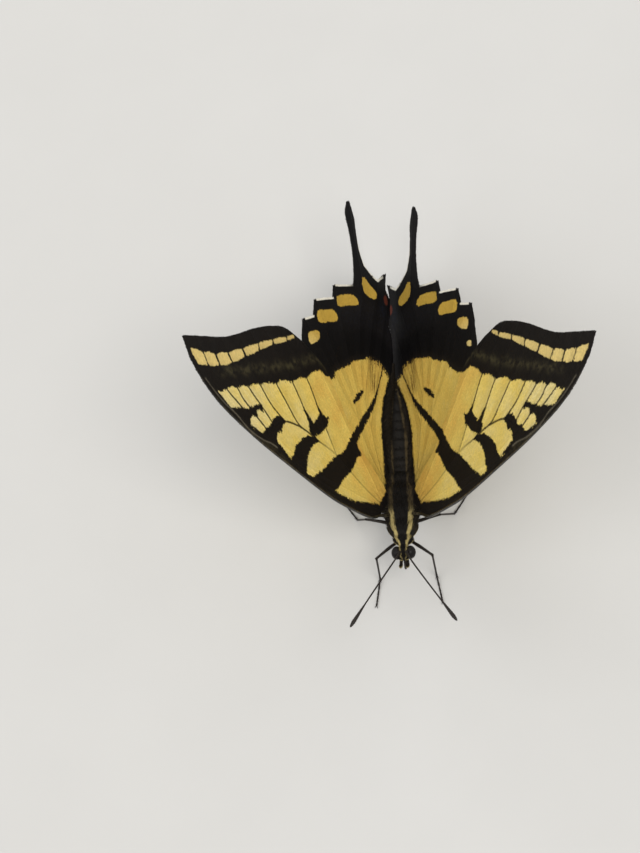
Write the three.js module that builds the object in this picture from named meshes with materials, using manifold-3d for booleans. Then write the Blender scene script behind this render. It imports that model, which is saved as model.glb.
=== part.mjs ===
// A tiger swallowtail butterfly standing on its six feet with its wings half open.
// Millimetres. The head points to -Y, the tails to +Y, +Z is up and the floor is z = 0.
// The insect's own left side is +X.
import * as THREE from "three";
import { mergeVertices } from "three/addons/utils/BufferGeometryUtils.js";
import Module from "manifold-3d";

const wasm = await Module();
wasm.setup();

// Driving sizes
const FOREWING_LENGTH = 48; // root to tip, to which the outlines below are drawn
const HINGE_HEIGHT = 10; // the forewing hinges above the floor
const HINGE_HALF_GAP = 2; // from the middle of the body to a hinge
const WING_THICKNESS = 0.5;
const GAP = 0.3; // left between neighbours

// How each pair of wings is held, in degrees: dihedral is the lift from level, and
// sweep turns the inner margin from straight out towards straight back.
const POSE = {
  left: { side: 1, dihedral: 56.5, foreSweep: 40.5, hindSweep: 93 },
  right: { side: -1, dihedral: 62.5, foreSweep: 43.5, hindSweep: 87 },
};

// The body from front to back: y, half width, half height and height of the middle
const BODY = [
  [-7.95, 0.35, 0.35, -2.1],
  [-7.55, 0.95, 0.95, -2.05],
  [-6.65, 1.3, 1.35, -2.0],
  [-5.75, 0.95, 1.1, -1.95],
  [-4.9, 1.65, 1.95, -1.9],
  [-3.2, 2.45, 2.75, -1.8],
  [-0.8, 2.75, 3.05, -1.7],
  [1.6, 2.65, 2.95, -1.75],
  [4.0, 2.15, 2.35, -1.95],
  [5.6, 1.75, 1.85, -2.1],
  [7.5, 2.0, 2.05, -2.2],
  [10.5, 2.05, 2.05, -2.35],
  [14.0, 1.7, 1.7, -2.5],
  [17.0, 1.15, 1.2, -2.6],
  [19.0, 0.6, 0.65, -2.6],
  [19.5, 0.25, 0.25, -2.6],
];
const NECK = -5.75;
const WAIST = 5.6;
const ABDOMEN_BEND = -0.35; // sideways shift of the abdomen's tip

// Wing outlines, flat: [along the inner margin, out towards the costa]
const FOREWING = {
  hinge: [0, 0],
  lift: 0,
  arch: 0.45,
  inner: [[0, 0], [9, -0.6], [15, -1.1], [21, -1.7], [24.5, -0.9], [27.8, 0.8]],
  costa: [[0, 2.9], [1, 5.2], [4.5, 8.9], [8.5, 12.5], [16, 17.8], [23.5, 22.8], [31.2, 26.9],
    [37.2, 28.2], [41.4, 27.4]],
  margin: [[27.8, 0.8], [31.2, 3.6], [33, 6.8], [34.1, 9.5], [35, 12.2], [36, 15.9], [37.2, 19.4],
    [39.2, 23.3], [41.4, 27.4]],
};
const HINDWING = {
  hinge: [4, 0],
  lift: -0.8, // just under the forewing
  arch: 0,
  inner: [[2.5, -0.6], [8, -0.9], [12.5, -1.8], [17.3, -4.1], [20, -5.1], [24.3, -5.2],
    [26.5, -4.6], [28.8, -5.2], [30.8, -5.3]],
  costa: [[-1.8, 0], [-1.3, 6], [1.5, 12], [6, 16.7], [11.5, 19.2], [16.4, 19.2]],
  margin: [[30.8, -5.3], [32.4, -4.3], [35, -4.6], [32.9, -2.2], [33.4, -0.8], [32, 1.8],
    [29.9, 4.5], [29, 7.2], [28, 10.1], [25.8, 10.5], [24.9, 12.9], [23.8, 15.5], [21.1, 15.9],
    [20.3, 17.4], [19.6, 18.9], [18, 19], [16.4, 19.2]],
};
// The tail's two edges, from the hindwing's margin to the tip
const TAIL = {
  inner: [[33.6, -0.65], [34.6, 1.1], [36.8, 2.35], [39.3, 2.95], [41.7, 3.2], [43.4, 4.1]],
  outer: [[30.2, 4.6], [32.2, 4.15], [35.2, 4.1], [38.8, 4.7], [41.7, 5.5], [43.3, 5.1]],
};

function outward(geometry) {
  geometry.deleteAttribute("normal");
  geometry.deleteAttribute("uv");
  const merged = mergeVertices(geometry, 1e-4);
  const p = merged.attributes.position;
  const index = merged.index.array;
  const [a, b, c] = [0, 1, 2].map(() => new THREE.Vector3());
  let volume = 0;
  for (let i = 0; i < index.length; i += 3) {
    [a, b, c].forEach((corner, k) => corner.fromBufferAttribute(p, index[i + k]));
    volume += a.dot(b.cross(c));
  }
  if (volume < 0) {
    for (let i = 0; i < index.length; i += 3) {
      [index[i + 1], index[i + 2]] = [index[i + 2], index[i + 1]];
    }
  }
  return merged;
}

function solid(geometry) {
  const closed = outward(geometry);
  return new wasm.Manifold(new wasm.Mesh({
    numProp: 3,
    vertProperties: new Float32Array(closed.attributes.position.array),
    triVerts: new Uint32Array(closed.index.array),
  }));
}

function moveEach(geometry, place) {
  const p = geometry.attributes.position;
  const v = new THREE.Vector3();
  for (let i = 0; i < p.count; i += 1) {
    v.fromBufferAttribute(p, i);
    place(v);
    p.setXYZ(i, v.x, v.y, v.z);
  }
  return geometry;
}

const insect = new THREE.Group();

const FINISH = {
  black: { color: 0x1b1611, roughness: 0.75, metalness: 0 },
  fur: { color: 0x2a2318, roughness: 0.9, metalness: 0 },
  wing: { color: 0xe9c664, roughness: 0.7, metalness: 0 },
  eye: { color: 0x120c08, roughness: 0.25, metalness: 0 },
};

function add(name, shape, finish) {
  const { vertProperties, triVerts } = shape.getMesh();
  const geometry = new THREE.BufferGeometry();
  geometry.setAttribute("position", new THREE.BufferAttribute(vertProperties, 3));
  geometry.setIndex(new THREE.BufferAttribute(triVerts, 1));
  geometry.computeVertexNormals();
  const mesh = new THREE.Mesh(geometry, new THREE.MeshStandardMaterial(FINISH[finish]));
  mesh.name = name;
  insect.add(mesh);
}

// Body: one smooth form, parted by thin cuts at the neck and the waist
function bodyAt(y) {
  let k = 1;
  while (k < BODY.length - 1 && BODY[k][0] < y) k += 1;
  const [from, to] = [BODY[k - 1], BODY[k]];
  const part = THREE.MathUtils.clamp((y - from[0]) / (to[0] - from[0]), 0, 1);
  const eased = part * part * (3 - 2 * part);
  const [, width, height, middle] = from.map((value, i) => value + (to[i] - value) * eased);
  return { width, height, middle };
}

function bendAt(y) {
  const part = Math.max(0, (y - WAIST) / (BODY.at(-1)[0] - WAIST));
  return ABDOMEN_BEND * part * part;
}

function bodyForm(grow) {
  const rings = 36;
  const first = BODY[0][0];
  const span = BODY.at(-1)[0] - first;
  const profile = [new THREE.Vector2(0, first - grow)];
  for (let i = 0; i <= rings; i += 1) {
    profile.push(new THREE.Vector2(1, first + (span * i) / rings));
  }
  profile.push(new THREE.Vector2(0, first + span + grow));
  const form = new THREE.LatheGeometry(profile, 18);
  return solid(moveEach(form, (v) => {
    const { width, height, middle } = bodyAt(v.y);
    v.x = v.x * (width + grow) + bendAt(v.y);
    v.z = v.z * (height + grow) + middle;
  }));
}

function slab(from, to) {
  const block = new THREE.BoxGeometry(20, to - from, 20);
  block.translate(0, (from + to) / 2, 0);
  return solid(block);
}

// Eyes: large egg-shaped domes set into the sides of the head
const EYE = { x: 0.98, y: -6.72, z: -1.85, radii: [0.82, 0.98, 1.05] };

function eyeForm(side, grow) {
  const ball = new THREE.SphereGeometry(1, 16, 12);
  ball.scale(...EYE.radii.map((radius) => radius + grow));
  ball.translate(side * EYE.x, EYE.y, EYE.z);
  return solid(ball);
}

const wholeBody = bodyForm(0);
const bodySpace = bodyForm(GAP);
const headRoom = eyeForm(1, 0.1).add(eyeForm(-1, 0.1));
add("head", wholeBody.intersect(slab(-12, NECK - GAP / 2)).subtract(headRoom), "fur");
add("thorax", wholeBody.intersect(slab(NECK + GAP / 2, WAIST - GAP / 2)), "fur");
add("abdomen", wholeBody.intersect(slab(WAIST + GAP / 2, 24)), "fur");
for (const [name, { side }] of Object.entries(POSE)) add(`eye_${name}`, eyeForm(side, 0), "eye");

// Round limbs: a cylinder drawn along a curve, with a radius at each step
function limb(points, radiusAt, sides, steps) {
  const curve = new THREE.CatmullRomCurve3(points.map((p) => new THREE.Vector3(...p)));
  const frames = curve.computeFrenetFrames(steps, false);
  const rod = new THREE.CylinderGeometry(1, 1, 1, sides, steps);
  return solid(moveEach(rod, (v) => {
    const part = v.y + 0.5;
    const step = Math.round(part * steps);
    const radius = radiusAt(part);
    const place = curve.getPointAt(part);
    place.addScaledVector(frames.normals[step], v.x * radius);
    place.addScaledVector(frames.binormals[step], v.z * radius);
    v.copy(place);
  }));
}

// The corners of a limb eased by a point either side of each
function eased(points, reach) {
  const line = points.map((p) => new THREE.Vector3(...p));
  const out = [line[0]];
  for (let i = 1; i < line.length - 1; i += 1) {
    for (const next of [line[i - 1], line[i + 1]]) {
      const share = Math.min(0.3, reach / next.distanceTo(line[i]));
      out.push(line[i].clone().lerp(next, share));
    }
  }
  out.push(line.at(-1));
  return out.map((p) => p.toArray());
}

function between(values, part) {
  const at = part * (values.length - 1);
  const k = Math.min(Math.floor(at), values.length - 2);
  return values[k] + (values[k + 1] - values[k]) * (at - k);
}

// Legs: hip, knee, heel and the foot laid along the floor, drawn for the left side
const LEGS = {
  fore: [[1.1, -4.2, -4.1], [4.1, -6.9, -3.1], [4.2, -7.7, -9.3], [4.5, -9, -9.84], [4.9, -11.8, -9.84]],
  mid: [[1.5, -1.2, -4.3], [5.4, -0.7, -3], [7.3, 1.9, -9.2], [8.1, 3, -9.84], [9.7, 5.6, -9.84]],
  hind: [[1.4, 1.6, -4.2], [4.2, 6.2, -3.2], [5.3, 11.2, -9.2], [5.6, 12.5, -9.84], [6.3, 16.4, -9.84]],
};
const LEG_RADII = [0.36, 0.44, 0.4, 0.3, 0.27, 0.27, 0.25, 0.25, 0.25];
const aboveFloor = new THREE.BoxGeometry(80, 80, 40);
aboveFloor.translate(0, 0, 20 - HINGE_HEIGHT);
const floorSpace = solid(aboveFloor);

for (const [pair, points] of Object.entries(LEGS)) {
  for (const [name, { side }] of Object.entries(POSE)) {
    const mirrored = eased(points, 0.6).map(([x, y, z]) => [side * x, y, z]);
    const leg = limb(mirrored, (part) => between(LEG_RADII, part), 8, 18);
    add(`${pair}leg_${name}`, leg.intersect(floorSpace).subtract(bodySpace), "black");
  }
}

// Feelers: thin, gently bowed and clubbed; palps beside the coiled tongue
const FEELER = [[0.45, -6.9, -0.9], [1.3, -9, 0.7], [3.4, -12.8, 2.4], [5.7, -16.6, 3.4], [7.6, -19.6, 3.7]];
const FEELER_RADII = [0.27, 0.25, 0.25, 0.25, 0.25, 0.25, 0.25, 0.3, 0.46, 0.3];
const PALP = [[0.42, -7.3, -2.9], [0.48, -8.1, -2.7], [0.5, -8.75, -2]];
for (const [name, { side }] of Object.entries(POSE)) {
  const feeler = limb(FEELER.map(([x, y, z]) => [side * x, y, z]),
    (part) => between(FEELER_RADII, part), 8, 18);
  add(`antenna_${name}`, feeler.subtract(bodySpace), "black");
  const palp = limb(PALP.map(([x, y, z]) => [side * x, y, z]),
    (part) => between([0.32, 0.36, 0.22], part), 8, 6);
  add(`palp_${name}`, palp.subtract(bodySpace), "fur");
}

const TONGUE = { turns: 1.25, outer: 1.3, inner: 0.3, y: -7.05, z: -4.75 };
const coil = [];
for (let i = 0; i <= 20; i += 1) {
  const part = i / 20;
  const angle = Math.PI * (0.62 - 2 * TONGUE.turns * part);
  const radius = TONGUE.outer + (TONGUE.inner - TONGUE.outer) * part;
  coil.push([0, TONGUE.y - radius * Math.cos(angle), TONGUE.z + radius * Math.sin(angle)]);
}
add("proboscis", limb(coil, () => 0.25, 8, 28).subtract(bodySpace), "black");

// Wings: a flat plan, bent a little and set at its hinge
function wingPlace(pose, sweepDegrees, { hinge, lift }) {
  const dihedral = THREE.MathUtils.degToRad(pose.dihedral);
  const sweep = THREE.MathUtils.degToRad(sweepDegrees);
  const out = new THREE.Vector3(pose.side * Math.cos(dihedral), 0, Math.sin(dihedral));
  const up = new THREE.Vector3(-pose.side * Math.sin(dihedral), 0, Math.cos(dihedral));
  const back = new THREE.Vector3(0, 1, 0);
  const root = new THREE.Vector3(pose.side * HINGE_HALF_GAP, hinge[0], 0);
  const along = out.clone().multiplyScalar(Math.cos(sweep)).addScaledVector(back, Math.sin(sweep));
  const across = out.clone().multiplyScalar(Math.sin(sweep)).addScaledVector(back, -Math.cos(sweep));
  return (p, q, n) => root.clone().addScaledVector(along, p).addScaledVector(across, q)
    .addScaledVector(up, n + lift);
}

const flat = (points) => points.map(([p, q]) => new THREE.Vector2(p, q));
const smooth = (points) => new THREE.SplineCurve(flat(points));

// A patch with four edges: root, inner margin, costa and outer margin
function wingPatch(wing) {
  const inner = smooth(wing.inner);
  const costa = smooth(wing.costa);
  const margin = flat(wing.margin);
  const marginAt = (t) => {
    const at = t * (margin.length - 1);
    const k = Math.min(Math.floor(at), margin.length - 2);
    return margin[k].clone().lerp(margin[k + 1], at - k);
  };
  const corner = [inner.getPointAt(0), inner.getPointAt(1), costa.getPointAt(0), costa.getPointAt(1)];
  return (s, t) => {
    const along = inner.getPointAt(s).lerp(costa.getPointAt(s), t);
    const across = corner[0].clone().lerp(corner[2], t).lerp(marginAt(t), s);
    const flatPatch = corner[0].clone().lerp(corner[1], s).lerp(corner[2].clone().lerp(corner[3], s), t);
    return along.add(across).sub(flatPatch);
  };
}

function plate(patch, place, bendOf, stepsAlong, stepsAcross) {
  const sheet = new THREE.BoxGeometry(1, 1, 1, stepsAlong, stepsAcross, 1);
  return solid(moveEach(sheet, (v) => {
    const [s, t] = [v.x + 0.5, v.y + 0.5];
    const { x: p, y: q } = patch(s, t);
    v.copy(place(p, q, bendOf(s, t) + v.z * WING_THICKNESS));
  }));
}

const tailPatch = (s, t) => smooth(TAIL.inner).getPoint(s).lerp(smooth(TAIL.outer).getPoint(s), t);

for (const [name, pose] of Object.entries(POSE)) {
  const fore = wingPlace(pose, pose.foreSweep, FOREWING);
  const hind = wingPlace(pose, pose.hindSweep, HINDWING);
  const archOf = (wing) => (s, t) => wing.arch * s * 4 * t * (1 - t);
  const forewing = plate(wingPatch(FOREWING), fore, archOf(FOREWING), 18, 8);
  add(`forewing_${name}`, forewing.subtract(bodySpace), "wing");
  const hindwing = plate(wingPatch(HINDWING), hind, archOf(HINDWING), 12, HINDWING.margin.length - 1);
  add(`hindwing_${name}`, hindwing.subtract(bodySpace), "wing");
  const tail = plate(tailPatch, hind, () => 0, 10, 2);
  add(`tail_${name}`, tail, "black");
}

// The middle of the whole goes over the origin
const extent = new THREE.Box3().setFromObject(insect);
const middle = extent.getCenter(new THREE.Vector3());
insect.position.set(-middle.x, -middle.y, HINGE_HEIGHT);

export default insect;
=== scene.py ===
import math

import bmesh
import bpy
import numpy as np
from mathutils import Matrix, Vector

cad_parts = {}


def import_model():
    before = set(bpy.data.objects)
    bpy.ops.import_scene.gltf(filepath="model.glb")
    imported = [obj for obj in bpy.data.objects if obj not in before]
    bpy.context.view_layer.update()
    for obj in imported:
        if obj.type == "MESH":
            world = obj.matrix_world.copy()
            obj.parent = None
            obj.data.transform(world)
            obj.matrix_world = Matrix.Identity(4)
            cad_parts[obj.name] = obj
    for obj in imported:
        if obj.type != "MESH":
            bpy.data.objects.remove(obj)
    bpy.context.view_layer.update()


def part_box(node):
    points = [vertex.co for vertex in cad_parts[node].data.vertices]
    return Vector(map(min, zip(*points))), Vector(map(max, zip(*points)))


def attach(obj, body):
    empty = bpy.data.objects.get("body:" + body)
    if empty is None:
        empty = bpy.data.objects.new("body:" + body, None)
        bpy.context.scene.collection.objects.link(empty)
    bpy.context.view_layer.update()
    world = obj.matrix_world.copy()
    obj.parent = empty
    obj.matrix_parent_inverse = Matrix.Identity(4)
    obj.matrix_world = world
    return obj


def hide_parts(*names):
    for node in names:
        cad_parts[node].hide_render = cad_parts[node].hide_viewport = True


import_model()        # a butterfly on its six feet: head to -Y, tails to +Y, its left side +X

# The camera looks down on the back from in front of the head, a little to the insect's left.
# Everything is measured in millimetres from the middle between the two forewing hinges, which
# lies on the body's centre line, 10 mm above the floor and behind the eyes.
MM = 0.001
HINGE_HEIGHT = 10
EYE_AHEAD = 6.72
eye_corners = [corner for side in ("left", "right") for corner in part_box("eye_" + side)]
eye_middle = sum(eye_corners, Vector()) / 4
HINGE = np.array([eye_middle.x / MM, eye_middle.y / MM + EYE_AHEAD, HINGE_HEIGHT])

CAMERA_DISTANCE = 365
CAMERA_AZIMUTH = math.radians(13.82)
CAMERA_ELEVATION = math.radians(65.57)
CAMERA_ROLL = math.radians(-16.59)
AIM_RIGHT, AIM_UP = -11.8, 11.47
toward = Vector((
    math.sin(CAMERA_AZIMUTH) * math.cos(CAMERA_ELEVATION),
    -math.cos(CAMERA_AZIMUTH) * math.cos(CAMERA_ELEVATION),
    math.sin(CAMERA_ELEVATION),
))
level = Vector((0, 0, 1)).cross(toward).normalized()
upright = toward.cross(level)
camera_right = level * math.cos(CAMERA_ROLL) + upright * math.sin(CAMERA_ROLL)
camera_up = upright * math.cos(CAMERA_ROLL) - level * math.sin(CAMERA_ROLL)
camera_data = bpy.data.cameras.new("camera")
camera_data.lens = 140.6
camera_data.sensor_width = 36
camera_data.sensor_fit = "HORIZONTAL"
camera_data.clip_start = 0.01
camera = bpy.data.objects.new("camera", camera_data)
bpy.context.scene.collection.objects.link(camera)
turn = Matrix((camera_right, camera_up, toward)).transposed().to_4x4()
stand = toward * CAMERA_DISTANCE + camera_right * AIM_RIGHT + camera_up * AIM_UP + Vector(HINGE)
camera.matrix_world = Matrix.Translation(stand * MM) @ turn
bpy.context.scene.camera = camera
bpy.context.scene.view_settings.view_transform = "Standard"


# The studio: a wide pale floor that the feet stand on, one large soft lamp high on the
# insect's left, weaker ones opposite and behind it, and pale light from all round.
def put(tree, kind, inputs=None, **settings):
    """A shader node, with its inputs given values or joined to other nodes' outputs"""
    node = tree.nodes.new("ShaderNode" + kind)
    for name, value in settings.items():
        setattr(node, name, value)
    for name, value in (inputs or {}).items():
        if isinstance(value, bpy.types.NodeSocket):
            tree.links.new(value, node.inputs[name])
        else:
            node.inputs[name].default_value = value
    return node


def finish_of(name, slot_values):
    """A material with one Principled shader; returns it, its tree and that shader"""
    made = bpy.data.materials.new(name)
    made.use_nodes = True
    tree = made.node_tree
    tree.nodes.clear()
    surface = put(tree, "BsdfPrincipled", slot_values)
    ending = put(tree, "OutputMaterial")
    tree.links.new(surface.outputs["BSDF"], ending.inputs["Surface"])
    return made, tree, surface


def tint(red, green, blue):
    """A colour as seen on screen, 0 to 255, made linear"""
    return tuple(((c / 255 + 0.055) / 1.055) ** 2.4 if c > 10 else c / 255 / 12.92
                 for c in (red, green, blue)) + (1,)


def blend(tree, amount, first, second):
    """A colour between two others; a Mix node's colours are its sockets 6 and 7"""
    return put(tree, "Mix", {0: amount, 6: first, 7: second}, data_type="RGBA").outputs[2]


def noise(tree, places, scale, detail):
    """A drifting pattern between 0 and 1"""
    wanted = {"Vector": places, "Scale": scale, "Detail": detail}
    return put(tree, "TexNoise", wanted).outputs["Fac"]


FLOOR_RADIUS = 3000
floor_form = bmesh.new()
bmesh.ops.create_circle(floor_form, cap_ends=True, segments=96, radius=FLOOR_RADIUS * MM)
floor_mesh = bpy.data.meshes.new("floor")
floor_form.to_mesh(floor_mesh)
floor_form.free()
floor = bpy.data.objects.new("floor", floor_mesh)
bpy.context.scene.collection.objects.link(floor)
floor_finish, tree, surface = finish_of("pale_floor", {
    "Roughness": 0.9, "Specular IOR Level": 0.1,
})
places = put(tree, "TexCoord").outputs["Object"]
mottle = noise(tree, places, 60, 4)
tree.links.new(blend(tree, mottle, tint(180, 179, 176), tint(184, 183, 180)),
               surface.inputs["Base Color"])
floor_mesh.materials.append(floor_finish)

for name, place, strength, softness, warmth in (
    ("lamp_main", (200, -260, 620), 1.9, 34, (1, 0.97, 0.92)),
    ("lamp_fill", (-420, -160, 380), 0.95, 44, (0.97, 0.98, 1)),
    ("lamp_rear", (-60, 420, 420), 0.5, 40, (1, 1, 1)),
):
    lamp_data = bpy.data.lights.new(name, "SUN")
    lamp_data.energy = strength
    lamp_data.angle = math.radians(softness)
    lamp_data.color = warmth
    lamp = bpy.data.objects.new(name, lamp_data)
    bpy.context.scene.collection.objects.link(lamp)
    lamp.location = Vector(place) * MM
    lamp.rotation_euler = (-lamp.location).to_track_quat("-Z", "Y").to_euler()
sky = bpy.data.worlds.new("pale_room")
sky.use_nodes = True
sky.node_tree.nodes["Background"].inputs["Color"].default_value = (0.98, 0.985, 1, 1)
sky.node_tree.nodes["Background"].inputs["Strength"].default_value = 0.78
bpy.context.scene.world = sky


# The body: head, thorax and abdomen are one soft horny skin with no seam, drawn in at the neck
# and waist, with nine overlapping rings behind the waist. It lies under a coat of hair and
# scales, so it is sunk below the coat's surface by the coat's depth.
BODY = np.array([
    # y, half width, half height, height of the middle
    (-7.95, 0.35, 0.35, -2.1), (-7.55, 0.95, 0.95, -2.05), (-6.65, 1.3, 1.35, -2.0),
    (-5.75, 0.95, 1.1, -1.95), (-4.9, 1.65, 1.95, -1.9), (-3.2, 2.45, 2.75, -1.8),
    (-0.8, 2.75, 3.05, -1.7), (1.6, 2.65, 2.95, -1.75), (4.0, 2.15, 2.35, -1.95),
    (5.6, 1.75, 1.85, -2.1), (7.5, 2.0, 2.05, -2.2), (10.5, 2.05, 2.05, -2.35),
    (14.0, 1.7, 1.7, -2.5), (17.0, 1.15, 1.2, -2.6), (19.0, 0.6, 0.65, -2.6),
    (19.5, 0.25, 0.25, -2.6),
])
BODY_FRONT, BODY_END = BODY[0, 0], BODY[-1, 0]
WAIST = 5.6
TIP_SHIFT = -0.35  # the abdomen's tip lies a little to the insect's right
RING_LENGTH, RING_STEP = 1.6, 0.07
COAT_DEPTH = ([-8, -6.2, -5.2, 3, 6, 19.5], [0.22, 0.22, 0.5, 0.5, 0.24, 0.1])
STRIPE_Y = [-7.6, -6.4, -5.6, -4.4, -3.6, -1.9, 0, 3, 6, 12, 19]
STRIPE_OUT = [0.45, 0.58, 0.82, 1.15, 1.35, 1.6, 1.68, 1.68, 1.3, 1.3, 0.5]
STRIPE_HALF = [0.1, 0.14, 0.22, 0.3, 0.33, 0.36, 0.42, 0.42, 0.25, 0.24, 0.15]
SIDE_STRIPE_HALF = ([-8, -5, 3, 6, 12, 19], [0.4, 0.35, 0.4, 0.55, 0.8, 0.3])


def ease(values, low, high):
    """0 below low, 1 above high and a smooth rise between"""
    part = np.clip((np.asarray(values, float) - low) / (high - low), 0, 1)
    return part * part * (3 - 2 * part)


def body_at(y):
    """Half width, half height, middle height and sideways shift of the body at y"""
    y = np.asarray(y, float)
    k = np.clip(np.searchsorted(BODY[:, 0], y), 1, len(BODY) - 1)
    part = ease(y, BODY[k - 1, 0], BODY[k, 0])[..., None]
    before, after = BODY[k - 1, 1:], BODY[k, 1:]
    width, height, middle = np.moveaxis(before + (after - before) * part, -1, 0)
    shift = TIP_SHIFT * np.maximum(0, (y - WAIST) / (BODY_END - WAIST)) ** 2
    return width, height, middle, shift


def skin_place(y, angle):
    """A point of the body's skin; the angle runs from the back (0) round the insect's left"""
    width, height, middle, shift = body_at(y)
    sunk = np.interp(y, *COAT_DEPTH)
    ring = np.where(y > WAIST, RING_STEP * ((y - WAIST) / RING_LENGTH % 1) ** 2, 0)
    share = 1 - np.minimum(0.7, (sunk + RING_STEP - ring) / np.maximum(height, 0.2))
    across, above = np.sin(angle) * width * share, np.cos(angle) * height * share
    return np.stack([across + shift, y, above + middle], -1)


def body_marks(y, angle):
    """The body's markings: distance to the pale stripe, how dull it is, how brown the black is"""
    width, height, _, _ = body_at(y)
    across = np.abs(np.sin(angle)) * width
    above = np.cos(angle)
    stripe_out = np.interp(y, STRIPE_Y, STRIPE_OUT)
    on_back = np.abs(across - stripe_out) - np.interp(y, STRIPE_Y, STRIPE_HALF)
    on_side = np.abs(above + 0.35) * height - np.interp(y, *SIDE_STRIPE_HALF)
    stripe = np.where(above > 0, np.maximum(on_back, -above), on_side)
    dull_back = 0.12 + 0.88 * ease(y, -2.2, -0.2) + 0.4 * ease(-y, 6.2, 6.8)
    dull = np.where(above > 0, dull_back, 0.35)
    brown = ease(across, 1.5, 2.6) * ease(y, -5.5, -2) * 0.7 + 0.1
    return {"stripe": stripe, "dull": dull, "brown": brown}


def grow_object(name, mesh, material):
    """A finished piece of the insect, in its place and riding on its one body"""
    mesh.materials.append(material)
    mesh.shade_smooth()
    made = bpy.data.objects.new(name, mesh)
    bpy.context.scene.collection.objects.link(made)
    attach(made, "root")
    return made


def carry(mesh, values):
    """Hands each vertex its own values for the material to read"""
    for name, numbers in values.items():
        numbers = np.asarray(numbers, np.float32)
        kind, field = ("FLOAT_VECTOR", "vector") if numbers.ndim == 2 else ("FLOAT", "value")
        mesh.attributes.new(name, kind, "POINT").data.foreach_set(field, numbers.ravel())


def world(points):
    """From millimetres about the hinge to the frame's metres"""
    return (np.asarray(points, float) + HINGE) * MM


def value_of(tree, name):
    """What the mesh carries under that name, as a number"""
    return put(tree, "Attribute", attribute_name=name).outputs["Fac"]


def new_group(name):
    """A shader group that takes how frayed its edges are (Fray) and gives a Color; returns it,
    the fray it takes and the socket for its colour"""
    group = bpy.data.node_groups.new(name, "ShaderNodeTree")
    group.interface.new_socket(name="Fray", in_out="INPUT", socket_type="NodeSocketFloat")
    group.interface.new_socket(name="Color", in_out="OUTPUT", socket_type="NodeSocketColor")
    taken, given = group.nodes.new("NodeGroupInput"), group.nodes.new("NodeGroupOutput")
    return group, taken.outputs["Fray"], given.inputs["Color"]


def arithmetic(tree, operation, *values):
    """One arithmetic step"""
    return put(tree, "Math", dict(enumerate(values)), operation=operation).outputs[0]


def added(tree, *values):
    """The sum of two numbers"""
    return arithmetic(tree, "ADD", *values)


def times(tree, *values):
    """The product of two numbers"""
    return arithmetic(tree, "MULTIPLY", *values)


def less(tree, *values):
    """The first number less the second"""
    return arithmetic(tree, "SUBTRACT", *values)


def step_of(tree, value, low, high):
    """A smooth step from 0 at low to 1 at high"""
    return put(tree, "MapRange", {"Value": value, "From Min": low, "From Max": high},
               interpolation_type="SMOOTHSTEP").outputs["Result"]


def emboss(tree, surface, height, strength, depth):
    """Relief in a material from a pattern, its depth given in millimetres"""
    raised = put(tree, "Bump", {"Height": height, "Strength": strength, "Distance": depth * MM})
    tree.links.new(raised.outputs["Normal"], surface.inputs["Normal"])


body_group, fray, painted = new_group("body markings")
places = put(body_group, "TexCoord").outputs["Object"]
rough_edge = noise(body_group, places, 1400, 3)
large_tone = noise(body_group, places, 500, 3)
frayed = times(body_group, less(body_group, rough_edge, 0.5), fray)
to_stripe = added(body_group, value_of(body_group, "stripe"), frayed)
on_stripe = step_of(body_group, to_stripe, 0.1, -0.1)
black = blend(body_group, large_tone, tint(9, 11, 13), tint(18, 17, 17))
dark = blend(body_group, value_of(body_group, "brown"), black, tint(54, 45, 31))
cream = blend(body_group, value_of(body_group, "dull"), tint(170, 154, 102), tint(63, 54, 37))
body_group.links.new(blend(body_group, on_stripe, dark, cream), painted)

SKIN_FRAY = 0.3
skin_finish, tree, surface = finish_of("body_skin", {
    "Roughness": 0.65, "Specular IOR Level": 0.12,
})
marks = put(tree, "Group", {"Fray": SKIN_FRAY}, node_tree=body_group)
tree.links.new(marks.outputs["Color"], surface.inputs["Base Color"])
places = put(tree, "TexCoord").outputs["Object"]
pits = put(tree, "TexVoronoi", {"Vector": places, "Scale": 9000}).outputs["Distance"]
emboss(tree, surface, pits, 0.5, 0.03)

skin_form = bmesh.new()
bmesh.ops.create_uvsphere(skin_form, u_segments=56, v_segments=150, radius=1)
ball = np.array([vertex.co for vertex in skin_form.verts])
skin_share = np.arcsin(np.clip(ball[:, 2], -1, 1)) / math.pi + 0.5
skin_y = BODY_FRONT + (BODY_END - BODY_FRONT) * skin_share
skin_angle = np.arctan2(ball[:, 0], ball[:, 1])
skin_points = skin_place(skin_y, skin_angle)
at_pole = np.hypot(ball[:, 0], ball[:, 1]) < 1e-4
skin_points[at_pole, 0] = body_at(skin_y[at_pole])[3]
skin_points[at_pole, 2] = body_at(skin_y[at_pole])[2]
for vertex, point in zip(skin_form.verts, world(skin_points)):
    vertex.co = point
bmesh.ops.recalc_face_normals(skin_form, faces=skin_form.faces)
skin_mesh = bpy.data.meshes.new("body_skin")
skin_form.to_mesh(skin_mesh)
skin_form.free()
carry(skin_mesh, body_marks(skin_y, skin_angle))
body_skin = grow_object("body_skin", skin_mesh, skin_finish)
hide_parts("head", "thorax", "abdomen")


# The body's coat: long silky hair on the thorax, short bristly hair on the head and flat
# narrow scales on the abdomen. Each tuft is a slim three-sided spike that grows out of the skin
# and bends back over the next ones, so that together they hide the skin.
def unit(ways):
    """Directions of length one"""
    return ways / np.maximum(np.linalg.norm(ways, axis=-1, keepdims=True), 1e-9)


def skin_normal(y, angle):
    """Which way the skin faces"""
    width, height, _, _ = body_at(y)
    ahead, behind = body_at(y - 0.1), body_at(y + 0.1)
    slope = (behind[1] - ahead[1]) / 0.2
    back = -slope / np.maximum(height, 0.3)
    return unit(np.stack([np.sin(angle) / width, back, np.cos(angle) / height], -1))


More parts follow.
